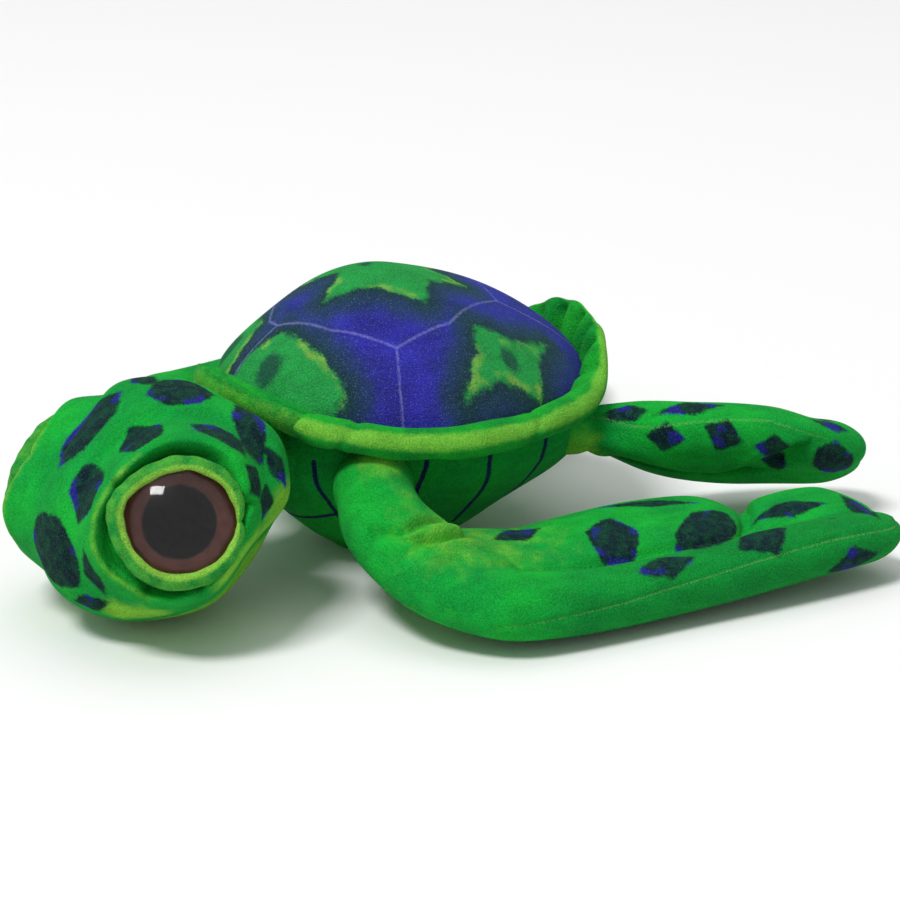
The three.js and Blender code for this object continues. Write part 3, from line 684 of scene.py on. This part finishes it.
def inside_spots(points, normals, spots):
    """Millimetres inside the nearest printed spot, negative outside. A spot has a middle, a half length and a
    half width in millimetres, a turn in degrees and a number of corners, and lies flat on the fabric."""
    best = np.full(len(points), -9.0)
    for *sizes, turn, corners in spots:
        middle = mm(sizes[:3])
        length, width = mm(sizes[3:])
        facing = normals[np.argmin(np.linalg.norm(points - middle, axis=1))]
        base = np.array([0, 0, 1.0]) if abs(facing[1]) > 0.95 else np.array([0, 1.0, 0])
        first = unit(base - facing * (base @ facing))
        second = np.cross(facing, first)
        c, s = math.cos(math.radians(turn)), math.sin(math.radians(turn))
        local = points - middle
        u = local @ (first * c + second * s) / length
        v = local @ (second * c - first * s) / width
        edges = full_turn(corners) + math.pi / corners
        reach = np.log(np.exp(9 * (np.outer(u, np.cos(edges)) + np.outer(v, np.sin(edges)))).sum(1)) / 9
        inside = (math.cos(math.pi / corners) * 1.06 - reach) * min(length, width) * 1000
        best = np.where(np.abs(local @ facing) < 0.012, np.maximum(best, inside), best)
    return best


def on_head(points):
    """Points of the head's own frame, in the turtle's."""
    return points @ head_frame.T + head_place


def eye_seat(sign):
    """An eye's place in the head's own frame, with its axis, and the directions ahead and up on its face."""
    shares = np.array([sign * eye_out_share / 2, -eye_ahead_share, eye_up_share / 2])
    flat = math.cos(eye_lift)
    axis = np.array([sign * math.cos(eye_turn) * flat, -math.sin(eye_turn) * flat, math.sin(eye_lift)])
    up = unit(np.array([0, 0, 1]) - axis * axis[2])
    return shares * (head_width, head_front, head_height), axis, np.cross(axis, up) * sign, up


# Round each eye, from ahead over the top, by even steps: how far out the socket's crest lies and its rise.
socket_crests = mm([28.6, 25.7, 22.8, 22.8, 24.4, 24, 21.3, 20.6, 20.8, 21.9, 23.2, 26.2, 28.6])
socket_rises = mm([9.7, 9, 8.2, 8, 8.7, 8.6, 8, 7.7, 7.6, 8.2, 8.8, 9.4, 9.7])
socket_inner_spread = 0.0030
socket_outer_spread = 0.0043
socket_pinches = np.radians([63, 328, 286, 198])
pinch_depths = {1: 0.0045, -1: 0.001}  # of the near eye, on the turtle's left, and of the far one
pinch_spread = 0.0023
valley_radius = 0.0186  # round the dome and the lids
valley_depth = 0.0032
# strength of the painted highlight along the socket crests
socket_highlight_share = 0.5


def around_eye(values, angle):
    return smooth_line(values, angle % (2 * math.pi) / (2 * math.pi))


def round_eye(points, seat):
    """Points in an eye's own frame: height along its axis, distance from it, and angle from ahead upwards."""
    place, axis, ahead, up = seat
    local = points - place
    height = local @ axis
    across, above = local @ ahead, local @ up
    return height, np.hypot(across, above), np.arctan2(above, across)


head = globe("head_skin", 7)
points = points_of(head)
points = points * (head_width / 2, 1, head_height / 2)
points[:, 1] *= np.where(points[:, 1] < 0, head_front, head_back)
push = np.zeros_like(points)
far_swells = [(-x, *others) for x, *others in paired_swells]
for *place, height, spread in mm(paired_swells + far_swells + single_swells):
    push += np.outer(height * bump_round(points, place, spread), unit(np.array(place)))
socket_painted_highlight = np.zeros(len(points))
for sign in (1, -1):
    seat = eye_seat(sign)
    height, away, angle = round_eye(points, seat)
    near = step_between(height, -eye_diameter, -eye_diameter / 4)
    crest = around_eye(socket_crests, angle)
    spread = np.where(away < crest, socket_inner_spread, socket_outer_spread)
    ring = around_eye(socket_rises, angle) * bump_at(away - crest, spread)
    if sign < 0:
        ring *= 0.98 - 0.26 * step_between(np.sin(angle), 0.3, 0.9)  # stuffed a little less on top
    for at in socket_pinches:
        beside = np.abs((angle - at + math.pi) % (2 * math.pi) - math.pi) * away
        ring -= pinch_depths[sign] * bump_at(beside, pinch_spread) * bump_at(away - crest + 0.001, 0.0038)
    beyond = 0.0012 + 0.0014 * step_between(np.cos(angle - 2.1), 0.0, 0.6)  # a groove outside the fold
    ring -= beyond * bump_at(away - crest - 0.0056, 0.0028)
    push += np.outer(ring * near, seat[1])
    # Painted highlight: yellow-green along each socket's crest where it faces the light, at the front and on
    # top.
    lit = near * step_between(np.cos(angle - 0.5), 0.1, 0.7)
    socket_painted_highlight += socket_highlight_share * bump_at(away - crest, 0.0017) * lit
points = points + push
for sign in (1, -1):
    seat = eye_seat(sign)
    height, away, angle = round_eye(points, seat)
    valley = np.maximum(valley_radius, around_eye(socket_crests, angle) - 0.0044)
    sunk = np.where((away < valley) & (height > -0.012), np.minimum(height, -valley_depth), height)
    points = points + np.outer(sunk - height, seat[1])
place_points(head, points)
relax(head, 3)
head_points = points_of(head)
head_spots = [
    (-5.6, -4.9, 33.5, 13, 6.9, -1, 6), (18.1, -1.8, 32.8, 6.9, 6.8, 77, 5),
    (33.2, 14.5, 23.9, 7.7, 4.4, -75, 6), (30, 25.6, 16.2, 11.5, 4.3, 47, 5),
    (8.3, 20.8, 27.6, 8.9, 7.4, -35, 6), (-5.6, 18.7, 31, 4.8, 2.7, -89, 4),
    (12.1, -24.2, 29.4, 8.8, 6.1, 29, 5), (0.8, -37.4, 13.2, 11.7, 10.3, 43, 6),
    (17.2, -37.9, 8.7, 6, 2.3, -8, 4), (9.2, -40.5, -3.4, 4.5, 2.9, 18, 4),
    (43.4, 11.1, 9.9, 4.8, 4.3, 86, 4), (40.1, 22.9, 4.3, 4.3, 2, 82, 4), (43.3, 12.8, -1, 4, 3.2, 38, 4),
]
off_middle = [spot for spot in head_spots if spot[0] > 18.5]
head_spots += [(-x, *others, -turn, corners) for x, *others, turn, corners in off_middle]  # the far side's
chin_patches = [mm(line) for line in (
    [(16, -37, -8.5), (26, -33, -12.5)],
    [(43, -12, -8.5), (42.5, -4, -7), (36, 8, -12), (37.6, 19, -7), (30, 22, -12)],
)]
half_head = np.abs(head_points) * (1, 0, 0) + head_points * (0, 1, 1)
lime_and_painted_light = 0.9 * bump_at(inside_lines(half_head, chin_patches) / 1000, 0.0072)
lime_and_painted_light = np.maximum(lime_and_painted_light, 0.75 * (1 - step_between(head_points[:, 2], -0.022, -0.015))) + socket_painted_highlight
spot = inside_spots(head_points, normals_of(head), head_spots) + 0.5
dyed(head, skin_velour, spot=spot, lime_and_painted_light=lime_and_painted_light)
place_points(head, on_head(head_points))
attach(head, "head")
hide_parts("head")

# Eyes. Each is a moulded safety eye: a clear polished dome over a glossy brown ring and a black pupil, whose
# stem goes through the fabric and is held by a washer in the stuffing.
lens_height = 0.009
lens_band = 0.0012
lens_bond = 0.00015  # the dome is moulded onto the ring and the pupil
dome_steps = 24
lens_edge = 0.0003  # its rim is rounded off
centre_hole = 0.0001  # where the turned profile is closed
sides = (("left", 1), ("right", -1))


def turned(name, profile, count=96):
    """A profile of radius and height pairs, turned about the Z axis."""
    angle = full_turn(count)
    around = np.stack([np.cos(angle), np.sin(angle)], -1)
    rings = [np.column_stack([around * radius, np.full(count, height)]) for radius, height in profile]
    return skin_of(name, np.array(rings))


def plastic(name, colour, roughness, inputs):
    """Moulded plastic with faint unevenness in its polish, and further inputs of its surface."""
    material, mould, surface = material_of(name)
    mould.place = mould.node("NewGeometry", {})
    flow = mould.grain(0.004)
    darker = tuple(channel * 0.75 for channel in colour[:3]) + (1,)
    shade = mould.printed(mould.rise(flow, 0.3, 0.7), darker, colour)
    mould.tree.links.new(shade, surface.inputs["Base Color"])
    polish = mould.node("MapRange", {"Value": flow, "To Min": roughness * 0.8, "To Max": roughness * 1.3})
    mould.tree.links.new(polish, surface.inputs["Roughness"])
    for key, value in {"IOR": 1.3, **inputs}.items():
        surface.inputs[key].default_value = value
    return material


clear_inputs = {"Transmission Weight": 1, "IOR": 1.12}
polished_inputs = {"Coat Weight": 1, "Coat IOR": 1.33, "Coat Roughness": 0.02}
clear_plastic = plastic("clear_plastic", (0.98, 0.98, 0.98, 1), 0.36, {**clear_inputs, **polished_inputs})
inner_plastics = {
    "iris": plastic("brown_plastic", dye(80, 42, 36), 0.5, {"Specular IOR Level": 0.1}),
    "backing": plastic("black_plastic", dye(7, 7, 8), 0.6, {"Specular IOR Level": 0.0}),
    "washer": plastic("washer_plastic", dye(225, 224, 218), 0.45, {}),
}

radius = eye_diameter / 2
cap = lens_height - lens_band
dome_radius = (radius**2 + cap**2) / (2 * cap)
half = math.asin(radius / dome_radius)
lens_profile = [(centre_hole, -lens_bond), (radius * 0.5, -lens_bond), (radius - 2 * lens_edge, -lens_bond)]
lens_profile += [(radius - lens_edge, lens_edge), (radius, 2 * lens_edge)]
for k in range(dome_steps):
    turn = half * (1 - k / dome_steps)
    height = lens_edge + lens_band + (math.cos(turn) - math.cos(half)) * dome_radius
    lens_profile.append((dome_radius * math.sin(turn), height))
lens_profile.append((centre_hole, lens_edge + lens_height))
for name, sign in sides:
    for part, material in inner_plastics.items():
        carried = bpy.data.objects[name + "_eye_" + part].data
        carried.materials.clear()
        carried.materials.append(material)
    place, axis, ahead, up = eye_seat(sign)
    lens = turned(name + "_lens", lens_profile)
    place_points(lens, on_head(points_of(lens) @ np.array([np.cross(up, axis), up, axis]) + place))
    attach(lens, "head")
    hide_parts(name + "_eye_lens")
    lens.data.materials.append(clear_plastic)

# Lids. A stuffed fold of yellow-green velour above each eye and one below, tucked between the dome and the
# socket, and meeting in two corners.
lid_rows = 150
lid_columns = 32
lid_lump_height = 0.00025
lid_lump_size = 0.006
lid_level = 0.0034
lid_tilt = math.radians(32)  # the inner edge rides up on the dome
lid_rise_share = 0.42
lid_tuck = 0.0058  # how far the outer edge goes down beside the dome
# Along each lid: the inner edge's distance from the eye's middle and the lid's width. The upper lid is listed
# from its front corner to its rear one, and the lower lid from its rear corner to its front one.
upper_edge = mm([16.7, 16, 15, 14.4, 14.8, 15.4, 16, 16.4, 16.6])
upper_widths = mm([6.2, 5.6, 5, 5.2, 5.2, 5.2, 4.8, 3.6, 1.8])
lower_edge = mm([16.6, 16, 15.2, 14.9, 15, 15, 15.2, 16, 16.7])
lower_widths = mm([2.6, 3.8, 5, 5.4, 5.6, 5.6, 5.4, 5.6, 6.2])
lids = [
    ("upper", math.radians(34), math.radians(216), upper_edge, upper_widths),
    ("lower", math.radians(-150), math.radians(60), lower_edge, lower_widths),
]


def lid_paint(cloth):
    """Yellow-green, greener in places."""
    drift = cloth.rise(cloth.grain(5.0), 0.35, 0.7)
    lime_and_painted_light = cloth.plus(cloth.reading("lime_and_painted_light"), cloth.grain(1.2), 0.5)
    colour = cloth.printed(drift, dye(72, 166, 58), dye(24, 138, 54))
    return cloth.printed(cloth.rise(lime_and_painted_light, 0.5, 1.3), colour, dye(136, 196, 70))


lid_velour = velour("lid_velour", lid_paint, dye(170, 210, 110), 0.15)


def lid(name, sign, low, high, edge, widths):
    """One fold, which runs round an eye between two angles."""
    place, axis, ahead, up = eye_seat(sign)
    share = np.linspace(0, 1, lid_rows)
    turn = low + (high - low) * share
    closing = narrowed(0.5 - np.abs(share - 0.5), 0.08, 0)
    half_width = smooth_line(widths, share) / 2 * (0.1 + 0.9 * closing)
    half_height = half_width * lid_rise_share + 0.0006 * closing + 0.0001
    out = np.outer(np.cos(turn), ahead) + np.outer(np.sin(turn), up)
    centre = out * (smooth_line(edge, share) + half_width)[:, None]
    centre += np.outer(lid_level - 0.0012 * (1 - closing), axis)
    across = out * math.cos(lid_tilt) - axis * math.sin(lid_tilt)
    raised = axis * math.cos(lid_tilt) + out * math.sin(lid_tilt)
    rings = tube_rings(centre, across, raised, half_width, half_height, 2, lid_columns)
    away = np.linalg.norm(rings - (rings @ axis)[..., None] * axis, axis=2)
    section = full_turn(lid_columns)
    under = step_between(np.cos(section), -0.2, 0.5) * step_between(-np.sin(section), -0.3, 0.4)
    tucked = lid_tuck * under * step_between(away, 0.0180, 0.0188)
    piece = skin_of(name, place + rings - tucked[..., None] * axis)
    place_points(piece, swollen(piece, lid_lump_height * lumps(points_of(piece), lid_lump_size, 11)))
    lime_and_painted_light = step_between(-np.cos(np.append(np.tile(section, lid_rows), (0, 0))), 0.1, 0.9)
    dyed(piece, lid_velour, lime_and_painted_light=lime_and_painted_light)
    place_points(piece, on_head(points_of(piece)))
    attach(piece, "head")
    return piece


for name, sign in sides:
    for which, *shape in lids:
        fold = lid(name + "_" + which + "_lid_fold", sign, *shape)
        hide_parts(name + "_" + which + "_lid")

# Front flippers. Two long stuffed flippers, each sewn from a top and a bottom panel in one length from the
# shoulder to the tip. The fabric folds at the elbow, and a seam runs along the leading edge.
shoulder = np.array([0.045, -0.030, 0.034])
shoulder_radius = 0.0128
shoulder_rise = 0.0022
elbow = np.array([0.040, 0.016, -0.021])
leading_path = mm([  # the thick leading edge: shoulder, upper arm, then the blade from the elbow on
    (0, 0, 1.5), (13, -2.5, -5), (26.5, 1, -11), (39.8, 7.5, -16), (14, 1, 1.5), (19, 14, 0),
    (21.2, 30, -0.8), (21.8, 52, -0.8), (22.2, 74, 0), (22.4, 95, 1), (21.8, 114.5, 1.3),
    (20.2, 129.8, 0.7), (13.8, 137.2, -0.6),
])
bend_point = 4  # where the blade begins in it
leading_widths = mm([11.8, 13.8, 16.4, 18.2, 14.8, 12, 10.4, 10.1, 10.4, 10.8, 11.4, 12, 11.5])
leading_heights = mm([12.8, 12.4, 12, 11.4, 10.8, 10, 9.6, 9.4, 9.4, 9.2, 8.8, 8.2, 7])
leading_rolls = [0, 0, 0, 0, 0.05, 0, 0, 0.05, 0.1, 0.18, 0.25, 0.3, 0.3]
web_path = mm([  # the broad panel behind it, from the inside of the elbow to the notch
    (-10, -10, 5), (-8.8, 3, 3.8), (-5.5, 22, 1.5), (-5.2, 42, 1.8), (-5.5, 64, 2), (-5.5, 85, 1.4),
    (-5, 101.5, -0.5),
])
web_widths = mm([18, 18.5, 19, 20.4, 21, 20, 19.6])
web_heights = mm([9, 8.5, 8.5, 9, 9.3, 8.8, 7])
web_rolls = [-0.12, -0.12, -0.12, -0.1, -0.08, -0.05, 0]
tip_path = mm([  # the rounded end beyond the notch
    (1, 94, 1), (3, 106, 2), (5, 118, 3), (7, 130, 3), (6, 139, 2),
])
tip_widths = mm([13, 16.5, 17.9, 17.5, 15])
tip_heights = mm([6.5, 8, 8.5, 8, 6])
flipper_spots = [
    (-11.8, 19.6, 10.3, 8.1, 4.1, 11, 4), (3.1, 46, 9.9, 12.6, 8, 67, 5), (9, 76.8, 8.5, 15.7, 8.4, 38, 6),
    (25.2, 51.3, 6.9, 9.1, 4.3, 3, 4), (23.8, 87.6, 8.4, 10.1, 6.9, 16, 4),
    (8.4, 108.7, 9.5, 10.6, 4.2, -17, 4), (16.6, 130, 10, 7.5, 3.7, -88, 4), (29, 117, 0, 8.5, 5, 10, 4),
    (-14.3, 69.2, 11.3, 12.8, 2.6, -18, 4),
]
# Lines on the top of the flipper, in plan from the elbow: creases at the bend, the ridges between them, the
# valley behind the leading edge and the deep crease at the notch.
elbow_creases = [mm(line) for line in (
    [(-13.5, -4), (-10.9, -13.7), (-8.5, -19.5), (-9.5, -23.5), (-15.4, -29.5)],
    [(-8, 1), (-3.9, -8.5), (-2.5, -13.7), (-4.3, -19.6), (-6.6, -21.5)],
)]
elbow_ridges = [mm(line) for line in (
    [(-10, -3), (-7.2, -13.2), (-5.6, -21.6)],
    [(-2, 2), (-0.4, -12.3)],
)]
valley_line = mm([(5.1, -14.6), (10.5, -4.1), (11.2, 10.3), (12.8, 29.8), (13.5, 60), (15, 76)])
notch_line = mm([(-20, 106), (-6, 101), (5, 95), (12, 89), (16, 82), (16, 74)])
drawn_lines = [  # with the depth and the spread of each; a depth under 0 raises the fabric
    (elbow_creases, 0.0030, 0.0017),
    (elbow_ridges, -0.0014, 0.0026),
    ([valley_line], 0.0016, 0.0026),
    ([notch_line], 0.0026, 0.0020),
]
# Along the blade from the elbow, the level of the leading edge's seam.
front_seam_along = mm([-16, -6, 6, 32, 56, 83, 97, 111, 125, 137])
front_seam_levels = mm([-3.2, -0.7, 0, 1, 3, 5.5, 6.6, 7.1, 6.8, 5.8])
deepest_crease = 0.0030
front_seam_height = 0.0005
front_mesh = 0.0013  # side of the squares that the fused skin is made of
front_flipper_poses = (  # how far each is turned ahead and raised at the shoulder, and swept at the elbow
    ("left", 1, 0, 0, 0),
    ("right", -1, math.radians(30), math.radians(6), math.radians(-12)),
)


def lobe(path, widths, heights, rolls, power, ends, rows=90):
    """A stuffed form along a smooth path, with its half width, half height and roll along the path."""
    t = np.linspace(0, 1, rows)
    centre = np.stack([smooth_line(path[:, k], t) for k in range(3)], -1)
    ahead = unit(np.gradient(centre, axis=0))
    side = unit(np.cross(ahead, (0, 0, 1)))
    up = np.cross(side, ahead)
    roll = smooth_line(rolls, t)[:, None]
    side, up = side * np.cos(roll) + up * np.sin(roll), up * np.cos(roll) - side * np.sin(roll)
    close = narrowed(t, ends[0], 0.12) * narrowed(1 - t, ends[1], 0.12)
    half_width, half_height = smooth_line(widths, t) * close, smooth_line(heights, t) * close
    return skin_of("lobe", tube_rings(centre, side, up, half_width, half_height, power, 64))


def fuse(name, parts, square, rounds):
    """Joins overlapping stuffed forms into one skin of even squares."""
    bpy.context.view_layer.update()
    offset, points, faces = 0, [], []
    for part in parts:
        points.append(points_of(part))
        faces += [[v + offset for v in face.vertices] for face in part.data.polygons]
        offset += len(part.data.vertices)
        bpy.data.objects.remove(part)
    rough = sewn(name + "_rough", np.vstack(points), faces)
    remesh = rough.modifiers.new("even", "REMESH")
    remesh.mode = "VOXEL"
    remesh.voxel_size = square
    piece = settled(rough, name)
    relax(piece, rounds)
    piece.modifiers.new("finer", "SUBSURF").levels = 1
    return settled(piece, name)


def settled(piece, name):
    """The piece with its modifiers applied."""
    made = bpy.data.meshes.new_from_object(piece.evaluated_get(bpy.context.evaluated_depsgraph_get()))
    bpy.data.objects.remove(piece)
    made.name = name
    piece = smooth_piece(name, made)
    bpy.context.view_layer.update()
    return piece


def turn_about_z(angle):
    c, s = math.cos(angle), math.sin(angle)
    return np.array([[c, -s, 0], [s, c, 0], [0, 0, 1]])


def put_on(piece, points, sign, seat, *turns):
    """Places a flipper made in the frame of its left joint. The right one is its mirror image."""
    if sign < 0:
        points = points * mirrored
        piece.data.flip_normals()
    turn = np.eye(3)
    for angle, axis in turns:
        turn = turn @ np.array(Matrix.Rotation(angle, 3, axis))
    place_points(piece, points @ turn.T + seat * (sign, 1, 1))
    return turn


def front_flipper(name, sweep):
    """A left front flipper in the frame of its shoulder, with its points."""
    ball = globe("ball", 5)
    place_points(ball, points_of(ball) * shoulder_radius + (0, 0, shoulder_rise))
    swept = turn_about_z(-sweep).T
    edge = np.vstack([leading_path[:bend_point], leading_path[bend_point:] @ swept + elbow])
    leading = lobe(edge, leading_widths, leading_heights, leading_rolls, 2.1, (0.02, 0.09), 160)
    web = lobe(web_path @ swept + elbow, web_widths, web_heights, web_rolls, 2.7, (0.10, 0.15))
    tip = lobe(tip_path @ swept + elbow, tip_widths, tip_heights, [0] * 5, 2.3, (0.3, 0.4))
    piece = fuse(name, [ball, leading, web, tip], front_mesh, 10)
    points = (points_of(piece) - elbow) @ swept.T
    normals = normals_of(piece) @ swept.T
    drawn = np.zeros(len(points))
    for lines, depth, spread in drawn_lines:
        drawn += depth * bump_at(-inside_lines(points[:, :2], lines) / 1000, spread)
    drawn = np.minimum(drawn * step_between(normals[:, 2], 0.0, 0.5), deepest_crease)
    seam_level = np.interp(points[:, 1], front_seam_along, front_seam_levels)
    outer = normals @ (0.86, 0.5, 0) > 0.35
    drawn += front_seam_height * bump_at(points[:, 2] - seam_level, 0.0010) * outer
    points = points - normals * drawn[:, None]
    seam = np.where(outer, 1000 * (points[:, 2] - seam_level), -9)
    placed = points @ swept + elbow
    yellowing_and_painted_light = 0.6 * bump_round(placed, (0.002, 0, 0.014), 0.010)
    # Painted highlight: the web near the elbow is lighter and yellower, where it faces the light.
    yellowing_and_painted_light += 0.3 * bump_round(points[:, :2], (-0.008, 0.022), 0.030)
    # Painted shade: the leading lobe is darker green beyond the valley behind it.
    beside = points[:, 0] - np.interp(points[:, 1], valley_line[:, 1], valley_line[:, 0])
    yellowing_and_painted_light -= 0.35 * step_between(beside, 0.0, 0.004) * step_between(points[:, 1], -0.01, 0.02)
    yellowing_and_painted_light += 0.4 * bump_round(points[:, :2], (-0.006, -0.010), 0.022)
    dyed(piece, skin_velour, spot=inside_spots(points, normals, flipper_spots), lime_and_painted_light=yellowing_and_painted_light, seam=seam)
    return piece, placed


for name, sign, forward, lift, sweep in front_flipper_poses:
    flipper, points = front_flipper(name + "_front_flipper", sweep)
    turn = put_on(flipper, points, sign, shoulder, (-sign * forward, "Z"), (-sign * lift, "Y"))
    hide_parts(name + "_upper_arm", name + "_flipper_blade")
    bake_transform(flipper)

# Rear flippers. Two short stuffed flippers gathered at the hip, rolled so that the seam of the outer edge
# lies on top, with a fold along the under side.
hip = np.array([0.036, 0.052, 0.037])
paddle_length = 0.101
paddle_fall = math.radians(8)
paddle_roll = math.radians(37)
near_path = mm([
    (2, 0, 2), (6.5, 16, 0.2), (9, 34, -1.4), (9, 52, -1.4), (7, 70, -1.2), (4.5, 87.5, -2.2),
    (2, 100.2, -3),
])
near_widths = mm([7.5, 10, 12.8, 13.2, 12.7, 11.7, 10.2])
near_heights = mm([7.5, 10, 10.9, 10.9, 9.9, 9, 7.8])
far_path = mm([
    (-2, 4, 3), (-5, 18, 1.5), (-10, 36, -0.4), (-11.5, 54, -1.2), (-9, 72, -1.8), (-4, 90, -3.4),
    (0, 102.2, -3.4),
])
far_widths = mm([6.5, 9.5, 13, 14.5, 14.5, 13.5, 10.5])
far_heights = mm([6, 8, 9.2, 9.7, 9.7, 9.2, 7.5])
paddle_rolls = [0.8, 0.95, 0.95, 0.95, 0.95, 0.9, 0.8]
hip_lump = 0.0092
hip_lump_place = (0, -0.0055, 0.0030)
# Along the flipper from the hip, the level of the outer lobe's lower edge.
under_along = mm([4, 17, 32, 44, 49.2, 56.2, 62.8, 67.7, 74])
under_levels = mm([-1.5, -4.6, -8.4, -8.4, -4.2, 0.5, 3, 5.5, 7.5])
hind_seam = mm([
    (5.4, -0.7, 8.7), (9.3, 4.8, 8.5), (12.8, 11, 7.8), (15, 17.5, 8.4), (17.1, 26.2, 10.7),
    (18.2, 35.4, 12.4), (18.2, 43.6, 13), (17.9, 50.6, 13.1), (17.5, 57.4, 12.9), (17.6, 64.3, 11),
    (17.1, 73.2, 8.3), (15.3, 83.8, 5.9), (11.6, 93.8, 3.1),
])
thread_width = 0.0004
splays = (("left", 1, math.radians(10)), ("right", -1, math.radians(42)))
hind_mesh = 0.0012
gather_height = 0.0005  # round the hip
lap_height = 0.0012
dent_depth = 0.0016
dent_place = (0.006, 0.078, 0.0095)
tuck_move = (-0.0078, 0, -0.0012)  # how the fabric under the outer lobe is drawn in
paddle_spots = [
    (9.2, 9.2, 11.7, 6, 3, -2, 5), (12, 31.1, 14, 9.5, 3, 4, 4), (15.9, 21.4, 5.8, 5.4, 4.1, -1, 4),
    (18.5, 40.3, 7.9, 6.2, 4.6, -20, 4), (18, 58.5, 4.8, 5.8, 3.4, -2, 4),
    (10.7, 65.2, -3.5, 7.6, 3.2, -53, 4), (13, 85.3, -1.1, 9.6, 5.8, -36, 6), (12, 82.8, 10, 5, 2, -7, 4),
]


def rear_flipper(name):
    """A left rear flipper in the frame of its hip, with its points."""
    near = lobe(near_path, near_widths, near_heights, [0] * 7, 2, (0.05, 0.2))
    far = lobe(far_path, far_widths, far_heights, [0] * 7, 2, (0.12, 0.2))
    for form in (near, far):
        x, y, z = points_of(form).T
        roll = -paddle_roll * smooth_line(paddle_rolls, y / paddle_length)
        c, s = np.cos(roll), np.sin(roll)
        place_points(form, np.stack([x * c + z * s, y, z * c - x * s], -1))
    ball = globe("ball", 5)
    place_points(ball, points_of(ball) * hip_lump + hip_lump_place)
    piece = fuse(name, [near, far, ball], hind_mesh, 8)
    points = points_of(piece)
    normals = normals_of(piece)
    x, y, z = points.T
    folds = np.cos(9 * np.arctan2(z, x)) * bump_at(y - 0.001, 0.006)
    below = np.interp(y, under_along, under_levels) - z
    tucked = step_between(below, -0.0003, 0.0012) * (1 - step_between(below, 0.005, 0.016))
    tucked *= step_between(x, -0.002, 0.004) * step_between(y, 0.004, 0.014)
    tucked *= 1 - step_between(y, 0.064, 0.076)
    lapped = bump_at(below + 0.0022, 0.0028) * step_between(x, -0.002, 0.004) * bump_at(y - 0.04, 0.03)
    folded = gather_height * folds + lap_height * lapped
    folded -= dent_depth * bump_round(points, dent_place, 0.009)
    points = points + normals * folded[:, None] + np.outer(tucked, tuck_move)
    place_points(piece, points)
    gathered = 0.9 * bump_round(points, (0.003, -0.004, -0.003), 0.010)
    seam = inside_lines(points, [hind_seam], thread_width)
    dyed(piece, skin_velour, spot=inside_spots(points, normals, paddle_spots), lime_and_painted_light=gathered, seam=seam)
    return piece, points


for name, sign, splay in splays:
    flipper, points = rear_flipper(name + "_hind_flipper")
    put_on(flipper, points, sign, hip, (-sign * splay, "Z"), (-paddle_fall, "X"))
    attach(flipper, name + "_rear")
    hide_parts(name + "_rear_flipper")

# Camera, floor and lights: a pale floor under plain soft studio light, seen from the turtle's front left and
# a little above.
lens_length = 106.83  # millimetres
sensor_width = 36
camera_place = (0.7471, -0.3762, 0.3338)
camera_axes = ((0.4695, 0.8829, 0), (-0.302, 0.1606, 0.9397), (0.8297, -0.4411, 0.342))  # right, up, back
floor_size = 30
floor_white = (0.8, 0.8, 0.8, 1)
floor_white_seen = (0.97, 0.97, 0.97, 1)
sky_level = 0.34
window_aim = Vector((0.063, -0.109, 0.056))  # the near eye
window_distance = 6
window_size = (1.85, 1.25)
window_energy = 236
ceiling_place = (-0.3, 0.3, 2.4)
ceiling_size = 2.2
ceiling_energy = 13
window_towards = Vector((0.154, -0.464, 0.872)).normalized()
window_across = Vector((0.72, 0.64, 0.25))


def standing(place, *axes):
    """Where a camera or lamp stands, with its directions right, up and back."""
    return Matrix.Translation(place) @ Matrix(axes).transposed().to_4x4()


def seen_directly(dyer):
    """1 for what the camera sees, also by way of gloss or clear plastic."""
    path = dyer.node("LightPath", {}).node.outputs
    seen = dyer.node("Math", {0: path["Is Camera Ray"], 1: path["Is Glossy Ray"]}, operation="MAXIMUM")
    return dyer.node("Math", {0: seen, 1: path["Is Transmission Ray"]}, operation="MAXIMUM")


camera_data = bpy.data.cameras.new("camera")
camera_data.sensor_width = sensor_width
camera_data.lens = lens_length
camera = linked("camera", camera_data)
camera.matrix_world = standing(camera_place, *camera_axes)
bpy.context.scene.camera = camera

corners = [(x * floor_size, y * floor_size, 0) for x, y in ((-1, -1), (1, -1), (1, 1), (-1, 1))]
floor = sewn("floor", corners, [(0, 1, 2, 3)])
floor_paint, painter, surface = material_of("floor_paint")
surface.inputs["Roughness"].default_value = 0.9
surface.inputs["Specular IOR Level"].default_value = 0.0
white = painter.printed(seen_directly(painter), floor_white, floor_white_seen)
painter.tree.links.new(white, surface.inputs["Base Color"])
floor.data.materials.append(floor_paint)

world = bpy.data.worlds.new("studio")
bpy.context.scene.world = world
world.use_nodes = True
sky = Dyer(world.node_tree)
background = sky.tree.nodes["Background"]
background.inputs["Color"].default_value = (1, 1, 1, 1)
level = sky.node("MapRange", {"Value": seen_directly(sky), "To Min": sky_level, "To Max": 1.0})
sky.tree.links.new(level, background.inputs["Strength"])
window = bpy.data.lights.new("window", "AREA")
window.shape = "RECTANGLE"
window.size, window.size_y = window_size
window.energy = window_energy
window_across = (window_across - window_towards * window_across.dot(window_towards)).normalized()
window_above = window_towards.cross(window_across)
window_place = window_aim + window_towards * window_distance
linked("window", window).matrix_world = standing(window_place, window_across, window_above, window_towards)
ceiling = bpy.data.lights.new("ceiling", "AREA")
ceiling.size = ceiling_size
ceiling.energy = ceiling_energy
ceiling_light = linked("ceiling", ceiling)
ceiling_light.location = ceiling_place
ceiling_light.visible_glossy = False
bpy.context.scene.view_settings.view_transform = "Standard"
